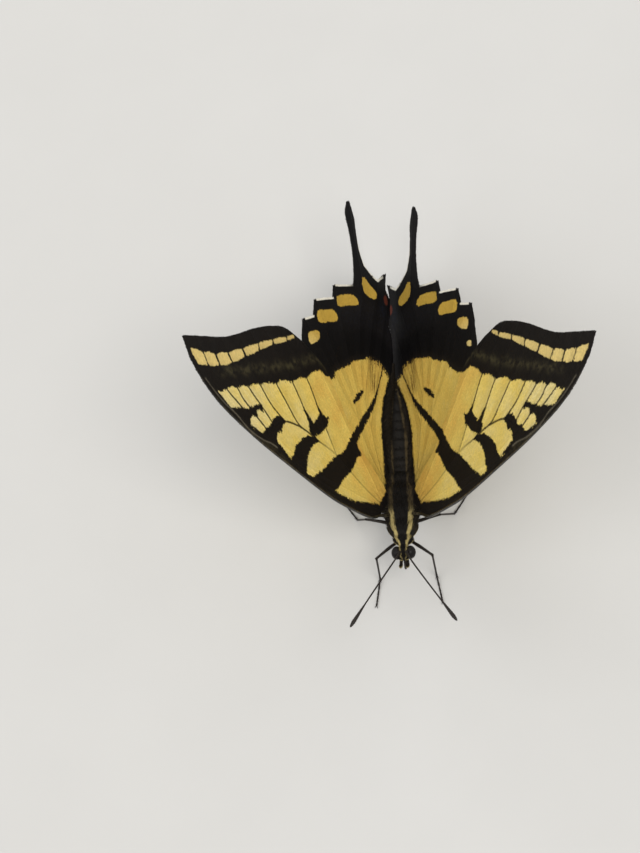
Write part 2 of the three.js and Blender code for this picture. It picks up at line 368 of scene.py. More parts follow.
def joined(name, corners, faces, values, patch):
    """One mesh of many like pieces: corners[piece, corner], the faces of one piece, what each
    piece or corner carries, and each corner's place on the unwrap"""
    count, each = corners.shape[:2]
    mesh = bpy.data.meshes.new(name)
    mesh.vertices.add(count * each)
    mesh.vertices.foreach_set("co", world(corners.reshape(-1, 3)).astype(np.float32).ravel())
    corner_list = np.concatenate(faces)
    first_of_face = np.cumsum([0] + [len(face) for face in faces[:-1]])
    piece = np.arange(count)[:, None]
    loops = (piece * each + corner_list).ravel()
    starts = piece * len(corner_list) + first_of_face
    mesh.loops.add(len(loops))
    mesh.loops.foreach_set("vertex_index", loops.astype(np.int32))
    mesh.polygons.add(starts.size)
    mesh.polygons.foreach_set("loop_start", starts.ravel().astype(np.int32))
    mesh.update(calc_edges=True)
    unwrap = mesh.uv_layers.new(name="OFBake")
    unwrap.data.foreach_set("uv", patch.reshape(-1, 2)[loops].astype(np.float32).ravel())
    carry(mesh, {key: np.repeat(held, each, axis=0) if len(held) == count else held
                 for key, held in values.items()})
    return mesh


PATCH = 0.003  # how wide a tuft's or scale's own patch is on the unwrap
TUFT_FACES = [(1, 4, 3, 0), (2, 5, 4, 1), (0, 3, 5, 2), (4, 6, 3), (5, 6, 4), (3, 6, 5),
              (2, 1, 0)]
TUFT_PATCH = np.array([
    (-0.5, 0), (0, 0.15), (0.5, 0), (-0.4, 0.55), (0, 0.65), (0.4, 0.55), (0, 1),
])


def grow_tufts(name, roots, facing, lie, length, width, droop, spots, values):
    """A coat of bent spikes: where each is rooted, which way the skin faces there, which way the
    tuft starts out, how long and wide it is, and how far its tip droops back to the skin"""
    length, width, droop = (np.asarray(v, float)[:, None] for v in (length, width, droop))
    start = roots - facing * 0.08
    middle = start + lie * length * 0.5
    tip = start + lie * length - facing * droop * length
    side = unit(np.cross(lie, facing))
    over = unit(np.cross(side, lie))
    corners = np.stack([
        start - side * width * 0.5, start + over * width * 0.35, start + side * width * 0.5,
        middle - side * width * 0.42, middle + over * width * 0.3, middle + side * width * 0.42,
        tip,
    ], axis=1)
    patch = spots[:, None, :] + TUFT_PATCH * PATCH
    return joined(name, corners, TUFT_FACES, values, patch)


def coat_finish(name, group, fray, roughness, gloss, spread):
    """Hair in the skin's own colours, each tuft a little lighter or darker than the next"""
    made, tree, surface = finish_of(name, {"Roughness": roughness, "Specular IOR Level": gloss})
    marks = put(tree, "Group", {"Fray": fray}, node_tree=group)
    tone = put(tree, "MapRange", {
        "Value": value_of(tree, "tone"), "To Min": 1 - spread, "To Max": 1 + spread,
    }).outputs["Result"]
    shade = put(tree, "VectorMath", {0: marks.outputs["Color"], "Scale": tone}, operation="SCALE")
    tree.links.new(shade.outputs["Vector"], surface.inputs["Base Color"])
    return made


GOLDEN = 0.6180339887  # the share of a turn between one tuft and the next


def scattered(count):
    """Evenly spread pairs of numbers between 0 and 1"""
    order = np.arange(count)
    return np.stack([(order + 0.5) / count, order * GOLDEN % 1], -1)


hair_finish = coat_finish("body_hair", body_group, SKIN_FRAY, roughness=0.65, gloss=0.1,
                          spread=0.35)
for name, first, last, count, length, width, stand, seed in (
    # from and to along the body, how many, how long and wide, how far they stand off the skin
    ("head_hair", -7.85, -5.7, 4200, 0.5, 0.075, 0.55, 1),
    ("thorax_hair", -5.8, 5.9, 14000, 1.35, 0.117, 0.28, 2),
    ("abdomen_scales", 5.3, 19.35, 10500, 0.62, 0.139, 0.12, 3),
):
    pairs, random = scattered(count), np.random.default_rng(seed)
    y = first + (last - first) * pairs[:, 0]
    angle = 2 * math.pi * pairs[:, 1]
    facing = skin_normal(y, angle)
    back = unit(np.array([0, 1, 0]) - facing * facing[:, 1:2])
    round_body = np.cross(back, facing)
    tall = stand * (0.7 + 0.6 * random.random(count))
    sway = random.normal(0, 0.13, count)
    lie = unit(back + facing * tall[:, None] + round_body * sway[:, None])
    long = length * (0.65 + 0.7 * random.random(count))
    if name == "thorax_hair":
        long *= 0.54 + 0.46 * ease(y, -5.6, -2.2)
        long *= 1 - 0.35 * ease(y, 3.5, 5.9)
    marks = body_marks(y + long * 0.4, angle)
    marks["tone"] = random.random(count)
    wide = width * (0.7 + 0.6 * random.random(count))
    spots = np.stack([pairs[:, 1], (y - BODY_FRONT) / (BODY_END - BODY_FRONT)], -1) * 0.99
    mesh = grow_tufts(name, skin_place(y, angle), facing, lie, long, wide, tall * 0.6,
                      spots, marks)
    grow_object(name, mesh, hair_finish)


# The eyes: two large egg-shaped domes of thousands of tiny lenses, dark grey-brown with a
# faint shine, each set close in the bristly hair of the head.
EYE_RADII = (0.82, 0.98, 1.05)
EYE_SUNK = 0.985  # the dome's size against the socket's
eye_finish, tree, surface = finish_of("eye_lenses", {
    "Roughness": 0.34, "Specular IOR Level": 0.1, "Coat Weight": 0.05, "Coat Roughness": 0.12,
})
places = put(tree, "TexCoord").outputs["Object"]
lenses = put(tree, "TexVoronoi", {"Vector": places, "Scale": 17000, "Randomness": 0.35},
             feature="DISTANCE_TO_EDGE").outputs["Distance"]
seam = step_of(tree, lenses, 0.02, 0.16)
lens_tone = blend(tree, noise(tree, places, 900, 2), tint(12, 10, 10), tint(27, 23, 22))
tree.links.new(blend(tree, seam, tint(10, 9, 9), lens_tone), surface.inputs["Base Color"])
emboss(tree, surface, lenses, 0.6, 0.02)
for side_name in ("left", "right"):
    low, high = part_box("eye_" + side_name)
    eye_form = bmesh.new()
    bmesh.ops.create_icosphere(eye_form, subdivisions=5, radius=1)
    bmesh.ops.scale(eye_form, verts=eye_form.verts, vec=Vector(EYE_RADII) * EYE_SUNK * MM)
    bmesh.ops.translate(eye_form, verts=eye_form.verts, vec=(low + high) / 2)
    eye_mesh = bpy.data.meshes.new("eye_dome_" + side_name)
    eye_form.to_mesh(eye_mesh)
    eye_form.free()
    eye = grow_object("eye_dome_" + side_name, eye_mesh, eye_finish)
    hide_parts("eye_" + side_name)


# Feelers, palps and tongue: jointed horny rods. A feeler has about fifty short rings and ends
# in a slim club; a palp is a stubby brush held up before the face; the tongue is a flat coil.
def smooth_line(points, steps, closed=False):
    """A rounded line through given points"""
    knots = np.array(points, float)
    ring = np.vstack([knots[-1:], knots, knots[:2]] if closed else [knots[:1], knots, knots[-1:]])
    part = np.linspace(0, 1, steps, endpoint=False)[:, None]
    spans = []
    for a, b, c, d in zip(ring, ring[1:], ring[2:], ring[3:]):
        bend = 2 * a - 5 * b + 4 * c - d + part * (3 * b - a - 3 * c + d)
        spans.append(b + part / 2 * (c - a + part * bend))
    return np.vstack(spans if closed else spans + [knots[-1:]])


def run_along(line):
    """How far along a line each of its points is"""
    return np.concatenate([[0], np.cumsum(np.linalg.norm(np.diff(line, axis=0), axis=1))])


def even_line(points, count):
    """The same line cut into equal lengths"""
    line = smooth_line(points, 16)
    run = run_along(line)
    at = np.linspace(0, run[-1], count)
    return np.stack([np.interp(at, run, line[:, k]) for k in range(line.shape[1])], -1)


def rod(form, line, radii, sides=10):
    """A round rod drawn along a line: a ring of corners pulled on from place to place"""
    across = None
    ring = bmesh.ops.create_circle(form, cap_ends=True, segments=sides, radius=1)["verts"]
    count = len(line)
    for k in range(count):
        run = Vector(line[min(k + 1, count - 1)] - line[max(k - 1, 0)]).normalized()
        across = (across or run.orthogonal()).cross(run).cross(run).normalized() * -1
        other = run.cross(across)
        if k > 0:
            edges = [form.edges.get(pair) for pair in zip(ring, ring[1:] + ring[:1])]
            pulled = bmesh.ops.extrude_edge_only(form, edges=edges)["geom"]
            fresh = [part for part in pulled if isinstance(part, bmesh.types.BMVert)]
            pulled_from = {e.other_vert(v): v for v in fresh for e in v.link_edges}
            ring = [pulled_from[old] for old in ring]
        centre = Vector(line[k])
        for i, vertex in enumerate(ring):
            turned = 2 * math.pi * i / sides
            offset = across * math.cos(turned) + other * math.sin(turned)
            vertex.co = centre + offset * float(radii[k])
    bmesh.ops.contextual_create(form, geom=ring)


def rod_object(name, lines, finish_used, node=None, sides=10):
    """One piece of horn made of rods, each a (line, radii) pair in millimetres"""
    form = bmesh.new()
    for line, radii in lines:
        rod(form, line, radii, sides)
    bmesh.ops.recalc_face_normals(form, faces=form.faces)
    bmesh.ops.translate(form, verts=form.verts, vec=Vector(HINGE))
    bmesh.ops.scale(form, verts=form.verts, vec=Vector((MM, MM, MM)))
    mesh = bpy.data.meshes.new(name)
    form.to_mesh(mesh)
    form.free()
    made = grow_object(name, mesh, finish_used)
    if node:
        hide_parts(node)


def rod_hair(line, radii, count):
    """Hair roots spread over a rod: their places, which way the rod faces there, and along it"""
    pairs = scattered(count)
    steps = np.linspace(0, 1, len(line))
    at = pairs[:, 0] * 0.98
    spine = np.stack([np.interp(at, steps, line[:, k]) for k in range(3)], -1)
    runs = np.gradient(line, axis=0)
    along = unit(np.stack([np.interp(at, steps, runs[:, k]) for k in range(3)], -1))
    first = unit(np.cross(along, (0.2, 0.1, 1)))
    turned = 2 * math.pi * pairs[:, 1:]
    facing = first * np.cos(turned) + np.cross(along, first) * np.sin(turned)
    return spine + facing * np.interp(at, steps, radii)[:, None] * 0.8, facing, along, pairs


horn_finish, tree, surface = finish_of("dark_horn", {
    "Roughness": 0.46, "Specular IOR Level": 0.22,
})
places = put(tree, "TexCoord").outputs["Object"]
horn_tone = blend(tree, noise(tree, places, 1800, 4), tint(13, 11, 10), tint(40, 33, 26))
tree.links.new(horn_tone, surface.inputs["Base Color"])
grain = put(tree, "TexVoronoi", {"Vector": places, "Scale": 12000}).outputs["Distance"]
emboss(tree, surface, grain, 0.6, 0.02)

SIDES = {"left": 1, "right": -1}
FEELER = [(0.45, -6.9, -0.9), (1.3, -9, 0.7), (3.4, -12.8, 2.4), (5.7, -16.6, 3.4),
          (7.6, -19.6, 3.7)]
FEELER_RINGS = 46
FEELER_THICK = ([0, 0.02, 0.05, 0.74, 0.86, 0.94, 0.985, 1],
                [0.22, 0.22, 0.13, 0.12, 0.24, 0.31, 0.2, 0.05])
PALP = [(0.42, -7.3, -2.9), (0.48, -8.1, -2.7), (0.5, -8.75, -2)]
PALP_CUTS, PALP_HAIRS = 13, 700
PALP_THICK = ([0, 0.5, 0.9, 1], [0.2, 0.24, 0.14, 0.04])
for side_name, side in SIDES.items():
    line = even_line([(side * x, y, z) for x, y, z in FEELER], FEELER_RINGS * 3 + 1)
    thick = np.interp(np.linspace(0, 1, len(line)), *FEELER_THICK)
    thick *= np.where(np.arange(len(line)) % 3 == 0, 0.88, 1.0)
    rod_object("feeler_" + side_name, [(line, thick)], horn_finish, "antenna_" + side_name)

    line = even_line([(side * x, y, z) for x, y, z in PALP], PALP_CUTS)
    thick = np.interp(np.linspace(0, 1, PALP_CUTS), *PALP_THICK)
    rod_object("palp_core_" + side_name, [(line, thick)], horn_finish, "palp_" + side_name)
    roots, facing, along, pairs = rod_hair(line, np.full(PALP_CUTS, 0.2), PALP_HAIRS)
    random = np.random.default_rng(4)
    lie = unit(along + facing * (0.35 + 0.3 * random.random(PALP_HAIRS))[:, None])
    above = facing[:, 2] - 0.1
    marks = {"stripe": np.sign(above) * (0.1 + 0.3 * np.abs(above)),
             "dull": np.full(PALP_HAIRS, 0.2), "brown": np.full(PALP_HAIRS, 0.3),
             "tone": random.random(PALP_HAIRS)}
    mesh = grow_tufts("palp_hair_" + side_name, roots, facing, lie,
                      0.4 + 0.3 * random.random(PALP_HAIRS), np.full(PALP_HAIRS, 0.07),
                      np.full(PALP_HAIRS, 0.2), pairs * 0.99, marks)
    grow_object("palp_hair_" + side_name, mesh, hair_finish)

TONGUE_TURNS, TONGUE_OUTER, TONGUE_INNER = 1.25, 1.3, 0.3
TONGUE_RIBS = 131
coil = np.linspace(0, 1, 121)
coil_angle = math.pi * (0.62 - 2 * TONGUE_TURNS * coil)
coil_reach = TONGUE_OUTER + (TONGUE_INNER - TONGUE_OUTER) * coil
coil_line = np.stack([0 * coil, -7.05 - coil_reach * np.cos(coil_angle),
                      -4.75 + coil_reach * np.sin(coil_angle)], -1)
tongue_line = even_line([(0, -6.2, -2.8), (0, -6.34, -3.3), *coil_line], TONGUE_RIBS)
tongue_thick = np.linspace(0.2, 0.1, TONGUE_RIBS)
tongue_thick *= np.where(np.arange(TONGUE_RIBS) % 2 == 0, 0.93, 1)
rod_object("tongue", [(tongue_line, tongue_thick)], horn_finish, "proboscis")


# The legs: six slim jointed legs, hip to foot. Thigh and shin are tubes, swollen a little at the
# joints and clad in short hair, pale under the thigh. The foot is five short joints laid on the
# floor, with a pair of hooked claws.
LEGS = {
    # hip, knee, heel and tip of the foot, on the insect's left
    "fore": [(1.1, -4.2, -4.1), (4.1, -6.9, -3.1), (4.2, -7.7, -9.3), (4.9, -11.8)],
    "mid": [(1.5, -1.2, -4.3), (5.4, -0.7, -3), (7.3, 1.9, -9.2), (9.7, 5.6)],
    "hind": [(1.4, 1.6, -4.2), (4.2, 6.2, -3.2), (5.3, 11.2, -9.2), (6.3, 16.4)],
}
FOOT_RADIUS = 0.15
FOOT_CUTS = [0, 0.42, 0.62, 0.76, 0.87, 1]
FOOT_JOINT_RADII = np.array([0.09, 0.12, 0.125, 0.13, 0.15, 0.1])
LEG_HAIRS = [(400, 0.42), (320, 0.26), (160, 0.5)]  # how many and how long: thigh, shin, hip


def leg_rods(hip, knee, heel, toe):
    """The rods of one leg: thigh, shin, hip joint, five foot joints, two claws and two spurs"""
    side = np.sign(hip[0])
    floor_z = -HINGE_HEIGHT + FOOT_RADIUS
    ankle = np.array([heel[0], heel[1], floor_z + 0.25])
    thigh = even_line([hip, (hip + knee) / 2 + (0, 0, 0.12), knee], 14)
    shin = even_line([knee, (knee + ankle) / 2, ankle], 16)
    socket = hip + (-0.5 * side, 0.25, 1.5)
    bulge = (socket + hip) / 2 + (0.12 * side, 0, 0)
    hip_joint = even_line([socket, bulge, hip + (knee - hip) * 0.05], 10)
    rods = [
        (thigh, np.interp(np.linspace(0, 1, 14), [0, 0.3, 0.85, 1], [0.2, 0.27, 0.19, 0.2])),
        (shin, np.interp(np.linspace(0, 1, 16), [0, 0.1, 0.9, 1], [0.2, 0.15, 0.14, 0.17])),
        (hip_joint, np.interp(np.linspace(0, 1, 10), [0, 0.5, 0.85, 1], [0.5, 0.52, 0.36, 0.22])),
    ]
    foot_from = np.array([ankle[0], ankle[1], floor_z])
    foot_to = np.array([*toe, floor_z])
    cuts = [foot_from + (foot_to - foot_from) * share for share in FOOT_CUTS]
    for a, b in zip([ankle] + cuts[1:], cuts[1:]):
        rods.append((even_line([a, (a + b) / 2, b], 6), FOOT_JOINT_RADII))
    run = unit(foot_to - foot_from)
    out = np.array([-run[1], run[0], 0])
    for turn in (-1, 1):
        claw = even_line([foot_to, foot_to + run * 0.2 + out * turn * 0.14 + (0, 0, 0.06),
                          foot_to + run * 0.42 + out * turn * 0.2 + (0, 0, -0.08)], 7)
        spur = even_line([ankle, ankle + out * turn * 0.16 + run * 0.3 + (0, 0, -0.02),
                          ankle + out * turn * 0.25 + run * 0.62 + (0, 0, -0.08)], 6)
        rods += [(claw, np.linspace(0.07, 0.02, 7)), (spur, np.linspace(0.06, 0.015, 6))]
    return rods


for pair, points in LEGS.items():
    for side_name, side in SIDES.items():
        joints = [np.array((side * point[0], *point[1:])) for point in points]
        rods = leg_rods(*joints)
        name = f"{pair}_leg_{side_name}"
        rod_object(name, rods, horn_finish, f"{pair}leg_{side_name}", sides=12)
        random = np.random.default_rng(7)
        parts, spots, stripe = [], [], []
        for k, ((line, radii), (count, length)) in enumerate(zip(rods, LEG_HAIRS)):
            roots, facing, along, pairs = rod_hair(line, radii, count)
            lie = unit(along + facing * (0.3 + 0.25 * random.random(count))[:, None])
            long = length * (0.6 + 0.6 * random.random(count))
            parts.append((roots, facing, lie, long, np.full(count, 0.06), np.full(count, 0.25)))
            spots.append(pairs * 0.3 + (0.33 * k, 0))
            stripe.append(np.where((facing[:, 2] < -0.35) & (k == 0), -0.3, 0.4))
        count = sum(map(len, spots))
        marks = {"stripe": np.concatenate(stripe), "dull": np.full(count, 0.45),
                 "brown": np.full(count, 0.25), "tone": random.random(count)}
        roots, facing, lie, long, wide, droop = map(np.concatenate, zip(*parts))
        mesh = grow_tufts(f"{pair}_leg_hair_{side_name}", roots, facing, lie, long, wide, droop,
                          np.concatenate(spots), marks)
        grow_object(f"{pair}_leg_hair_{side_name}", mesh, hair_finish)


# The wings are thin dry membranes stretched between hollow veins. Each is set at its hinge:
# raised by the dihedral, and swept so that its inner margin runs back along the body. Their
# plans are drawn flat: p is millimetres along the inner margin, q towards the front edge.
POSE = {
    "left": {"side": 1, "dihedral": 56.5, "fore_sweep": 40.5, "hind_sweep": 93},
    "right": {"side": -1, "dihedral": 62.5, "fore_sweep": 43.5, "hind_sweep": 87},
}
HINGE_HALF_GAP = 2
MEMBRANE = 0.12
FACES = {"upper": 1, "under": -1}
VEIN_SLACK, VEIN_RIDGE, VEIN_WIDTH = 0.09, 0.035, 0.15
LATTICE = 420  # how finely a wing's plan and markings are worked out


def wing_ways(pose, sweep_degrees):
    """A wing's three directions: along its inner margin, across it, and up from its face"""
    side, dihedral = pose["side"], math.radians(pose["dihedral"])
    sweep = math.radians(sweep_degrees)
    out = np.array([side * math.cos(dihedral), 0, math.sin(dihedral)])
    up = np.array([-side * math.sin(dihedral), 0, math.cos(dihedral)])
    back = np.array([0, 1, 0])
    along = out * math.cos(sweep) + back * math.sin(sweep)
    across = out * math.sin(sweep) - back * math.cos(sweep)
    return along, across, up


def line_at(line, part):
    """The point a share of the way along an evenly cut line"""
    at = np.clip(part, 0, 1) * (len(line) - 1)
    k = np.minimum(at.astype(int), len(line) - 2)
    rest = (at - k)[..., None]
    return line[k] * (1 - rest) + line[k + 1] * rest


def smoothed(line, width=61):
    """A line with its corners averaged away and its two ends where they were"""
    padded = np.pad(line, ((width // 2, width // 2), (0, 0)), "edge")
    even = np.ones(width) / width
    calm = np.stack([np.convolve(values, even, "valid") for values in padded.T], -1)
    part = np.linspace(0, 1, len(line))[:, None]
    return calm + (1 - part) * (line[0] - calm[0]) + part * (line[-1] - calm[-1])


def patch_at(inner, costa, margin, s, t):
    """A sheet between a wing's edges: s runs from the root to the outer margin, and t from the
    inner margin to the front edge (costa). Only close to its edge does it follow every tooth"""
    a, b, c, d = inner[0], inner[-1], costa[0], costa[-1]
    s1, t1 = s[..., None], t[..., None]
    calm = smoothed(margin)
    sheet = line_at(inner, s) * (1 - t1) + line_at(costa, s) * t1
    sheet = sheet + (a * (1 - t1) + c * t1) * (1 - s1) + line_at(calm, t) * s1
    sheet = sheet - ((a * (1 - t1) + c * t1) * (1 - s1) + (b * (1 - t1) + d * t1) * s1)
    return sheet + (line_at(margin, t) - line_at(calm, t)) * s1 ** 8


FAR = 99.0  # further than any place on a wing is from another


def to_line(p, q, line, widths=(0, 0)):
    """Distance in millimetres from each place on the plan to a line, less its half width there"""
    half = np.interp(np.linspace(0, 1, len(line)), np.linspace(0, 1, len(widths)), widths) / 2
    best = np.full(p.shape, FAR)
    for a, b, wide, wider in zip(line, line[1:], half, half[1:]):
        run = b - a
        part = np.clip(((p - a[0]) * run[0] + (q - a[1]) * run[1]) / (run @ run + 1e-12), 0, 1)
        off = np.hypot(p - a[0] - part * run[0], q - a[1] - part * run[1])
        best = np.minimum(best, off - wide - part * (wider - wide))
    return best


def to_shape(p, q, outline):
    """Distance from each place on the plan to a closed outline, less than 0 inside it"""
    best = to_line(p, q, np.vstack([outline, outline[:1]]))
    inside = np.zeros(p.shape, bool)
    for a, b in zip(outline, np.roll(outline, -1, axis=0)):
        if a[1] != b[1]:
            crossing = a[0] + (q - a[1]) * (b[0] - a[0]) / (b[1] - a[1])
            inside ^= ((a[1] > q) != (b[1] > q)) & (p < crossing)
    return np.where(inside, -best, best)


def nearest_of(p, q, outlines):
    """Distance to the nearest of several rounded outlines"""
    return np.min([to_shape(p, q, smooth_line(points, 4, closed=True)) for points in outlines],
                  axis=0)


def nearest_line(p, q, lines):
    """Distance to the nearest of several rounded lines"""
    return np.min([to_line(p, q, smooth_line(points, 5)) for points in lines], axis=0)


def sampled(field, s, t):
    """A lattice's value at any place, carried on straight past the wing's edges"""
    at_s, at_t = s * (LATTICE - 1), t * (LATTICE - 1)
    i = np.clip(np.floor(at_s).astype(int), 0, LATTICE - 2)
    j = np.clip(np.floor(at_t).astype(int), 0, LATTICE - 2)
    u, v = at_s - i, at_t - j
    if field.ndim == 3:
        u, v = u[..., None], v[..., None]
    return (field[i, j] * (1 - u) * (1 - v) + field[i + 1, j] * u * (1 - v)
            + field[i, j + 1] * (1 - u) * v + field[i + 1, j + 1] * u * v)


class Wing:
    """One kind of wing, worked out flat once and set twice: its plan, relief and markings"""

    def __init__(self, inner, costa, margin, veins, arch, lift, root, sweep, paint):
        self.lift, self.root, self.sweep = lift, root, sweep
        s, t = np.meshgrid(*[np.linspace(0, 1, LATTICE)] * 2, indexing="ij")
        plan = patch_at(even_line(inner, 300), even_line(costa, 300), margin, s, t)
        self.p, self.q = plan[..., 0], plan[..., 1]
        to_vein = nearest_line(self.p, self.q, veins)
        slack = -VEIN_SLACK * ease(to_vein, 0.1, 1.6) * ease(s, 0.05, 0.3)
        self.ridge = VEIN_RIDGE * np.exp(-(to_vein / VEIN_WIDTH) ** 2)
        self.height = arch * s * 4 * t * (1 - t) + slack
        self.marks = {face: paint(self.p, self.q, face == "under") for face in FACES}

    def places(self, pose, face):
        """The lattice in space on the upper or under face, and which way it faces"""
        along, across, up = wing_ways(pose, pose[self.sweep])
        way = FACES[face]
        height = self.height + self.lift + way * (MEMBRANE / 2 + self.ridge)
        root = np.array([pose["side"] * HINGE_HALF_GAP, self.root, 0])
        plan = self.p[..., None] * along + self.q[..., None] * across
        points = root + plan + height[..., None] * up
        facing = np.cross(np.gradient(points, axis=0), np.gradient(points, axis=1))
        facing = unit(facing) * np.sign((facing @ up).sum()) * way
        return points, facing


# Wing colours: every scale is one colour, and the markings are where scales of one colour end
# and another begin, so the edges are slightly frayed. Yellow ground, brown-black bars and
# border, paler or orange spots in the border, blue dust on the hindwing, white fringes.
wing_group, fray, painted = new_group("wing markings")
places = put(wing_group, "TexCoord").outputs["Object"]
lie = put(wing_group, "Attribute", attribute_name="lie").outputs["Vector"]
streaked = put(wing_group, "Mapping", {"Vector": lie, "Scale": (7, 130, 1)}).outputs["Vector"]
fibres = noise(wing_group, streaked, 1, 3)
drift = noise(wing_group, places, 240, 3)
both = added(wing_group, noise(wing_group, places, 2600, 3), fibres)
frayed = times(wing_group, less(wing_group, both, 1.0), fray)


def carried(name):
    """A marking that the wing carries"""
    return value_of(wing_group, name)


def edge_mask(name, share, soft):
    """1 inside a marking and 0 outside, along an edge frayed by a share of the common fray"""
    fray_here = times(wing_group, frayed, share)
    return step_of(wing_group, added(wing_group, carried(name), fray_here), soft, -soft)


in_dark = edge_mask("dark", 1.0, 0.07)
in_pale = edge_mask("pale", 0.5, 0.06)
in_white = step_of(wing_group, carried("white"), 0.05, -0.05)
on_vein = step_of(wing_group, carried("vein"), 0.2, 0.07)

# the warm ramp is partly the yellow's own tone and partly painted warm light reflected between the
# wings, stronger towards each wing's inner margin
warmth = added(wing_group, carried("warm"), times(wing_group, less(wing_group, fibres, 0.5), 0.9))
warmth = added(wing_group, warmth, times(wing_group, less(wing_group, drift, 0.5), 0.8))
yellows = put(wing_group, "ValToRGB", {"Fac": warmth})
yellows.color_ramp.elements[0].color = tint(215, 199, 140)
yellows.color_ramp.elements[1].color = tint(208, 164, 78)
yellows.color_ramp.elements.new(0.45).color = tint(216, 192, 100)
# painted shade: the hindwing's yellow is darkened towards a dull ochre, much more on its upper
# face than on its under face
ground = blend(wing_group, carried("painted_shade"), yellows.outputs["Color"], tint(176, 144, 62))
inked = times(wing_group, on_vein, carried("inked"))
ground = blend(wing_group, inked, ground, tint(40, 31, 19))
hairy = times(wing_group, carried("brown"), step_of(wing_group, fibres, 0.42, 0.6))
ground = blend(wing_group, hairy, ground, tint(112, 88, 42))

dark = blend(wing_group, drift, tint(17, 15, 14), tint(27, 23, 20))
clouds = step_of(wing_group, noise(wing_group, places, 1300, 4), 0.32, 0.64)
dark = blend(wing_group, times(wing_group, carried("olive"), clouds), dark, tint(61, 56, 39))
specks = step_of(wing_group, noise(wing_group, places, 7000, 1), 0.5, 0.6)
dark = blend(wing_group, times(wing_group, carried("blue"), specks), dark, tint(74, 92, 126))
dark = blend(wing_group, carried("cold"), dark, tint(9, 9, 11))
spot = blend(wing_group, carried("orange"), tint(210, 188, 122), tint(170, 135, 38))

pattern = blend(wing_group, in_dark, ground, dark)
pattern = blend(wing_group, times(wing_group, in_pale, in_dark), pattern, spot)
pattern = blend(wing_group, carried("red"), pattern, tint(76, 36, 26))
# painted glint: a pale grey line where the light catches the veins along the forewing's front edge
pattern = blend(wing_group, carried("painted_glint"), pattern, tint(150, 141, 120))
pattern = blend(wing_group, in_white, pattern, tint(214, 210, 196))
wing_group.links.new(pattern, painted)

WING_FRAY = 0.8
membrane_finish, tree, surface = finish_of("wing_membrane", {
    "Roughness": 0.6, "Specular IOR Level": 0.12,
})
marks = put(tree, "Group", {"Fray": WING_FRAY}, node_tree=wing_group)
tree.links.new(marks.outputs["Color"], surface.inputs["Base Color"])
lie = put(tree, "Attribute", attribute_name="lie").outputs["Vector"]
shingles = put(tree, "Mapping", {"Vector": lie, "Scale": (210, 240, 1)}).outputs["Vector"]
rows = put(tree, "TexVoronoi", {"Vector": shingles, "Scale": 1}).outputs["Distance"]
emboss(tree, surface, rows, 0.5, 0.03)

scale_finish = coat_finish("wing_scales", wing_group, WING_FRAY, roughness=0.6, gloss=0.1,
                           spread=0.12)


def wing_sheet(wing, pose, name, rows, columns, node):
    """The bare membrane: an upper face, an under face and the rim between them"""
    form = bmesh.new()
    bmesh.ops.create_grid(form, x_segments=rows, y_segments=columns, size=0.5)
    upper = np.array([vertex.co for vertex in form.verts])
    s, t = upper[:, 0] + 0.5, upper[:, 1] + 0.5
    top_faces = form.faces[:]
    copied = bmesh.ops.duplicate(form, geom=form.verts[:] + form.edges[:] + form.faces[:])
    twins = [part for part in copied["geom"] if isinstance(part, bmesh.types.BMVert)]
    under_faces = [part for part in copied["geom"] if isinstance(part, bmesh.types.BMFace)]
    count = len(s)
    form.verts.index_update()
    own = np.arange(count)
    twin_of = np.array([copied["vert_map"][twin].index for twin in twins])
    for face, vertices, index in (("upper", form.verts[:count], own), ("under", twins, twin_of)):
        points, _ = wing.places(pose, face)
        for vertex, point in zip(vertices, world(sampled(points, s[index], t[index]))):
            vertex.co = point
    up = Vector(wing_ways(pose, pose[wing.sweep])[2])
    top_faces[0].normal_update()
    wrong = under_faces if top_faces[0].normal.dot(up) > 0 else top_faces
    bmesh.ops.reverse_faces(form, faces=wrong)
    rim = [edge for edge in form.edges if edge.is_boundary]
    bmesh.ops.bridge_loops(form, edges=rim)
    bmesh.ops.recalc_face_normals(form, faces=form.faces)
    mesh = bpy.data.meshes.new(name)
    form.to_mesh(mesh)
    form.free()
    both_s, both_t = np.concatenate([s, s[twin_of]]), np.concatenate([t, t[twin_of]])
    below = np.arange(2 * count) >= count
    held = {}
    for label, upper_field in wing.marks["upper"].items():
        on_upper = sampled(upper_field, both_s, both_t)
        on_under = sampled(wing.marks["under"][label], both_s, both_t)
        held[label] = np.where(below, on_under, on_upper)
    held["lie"] = np.stack([both_s, both_t, below + 0.0], -1)
    carry(mesh, held)
    made = grow_object(name, mesh, membrane_finish)
    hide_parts(node)


SCALE_FACES = [(2, 3, 1, 0), (4, 5, 3, 2)]
SCALE_SHAPE = np.array([(-0.3, 0), (0.3, 0), (-0.52, 0.55), (0.52, 0.55), (-0.33, 1), (0.33, 1)])
ROW_GAP, SCALE_GAP = 0.196, 0.138
FRINGE, FRINGE_GAP = 0.38, 0.064  # the long slim scales that hang over the outer margin
UNWRAP_SHIFT, UNWRAP_SIZE = (3, 7), 52  # fits a whole plan, in millimetres, on the unwrap


def scale_roots(points, random):
    """Where a face's scales are rooted, row by row, and which of them are its fringe"""
    lattice = np.linspace(0, 1, LATTICE)
    row_count = int(run_along(points[:, LATTICE * 2 // 3])[-1] / ROW_GAP)
    root_s, root_t = [], []
    for row in range(row_count):
        at = (row + 0.5) / row_count
        run = run_along(points[int(at * (LATTICE - 1))])
        each = int(run[-1] / SCALE_GAP)
        shifted = np.arange(each) + 0.5 + 0.5 * (row % 2) + random.normal(0, 0.12, each)
        root_t.append(np.interp(np.clip(shifted / (each + 0.5), 0, 1) * run[-1], run, lattice))
        root_s.append(at + random.normal(0, 0.12, each) / row_count)
    fringe = int(run[-1] / FRINGE_GAP)
    root_t.append(np.interp((np.arange(fringe) + 0.5) / fringe * run[-1], run, lattice))
    root_s.append(np.full(fringe, 0.998))
    in_fringe = np.repeat([False, True], [sum(map(len, root_s[:-1])), fringe])
    return np.concatenate(root_s), np.concatenate(root_t), in_fringe


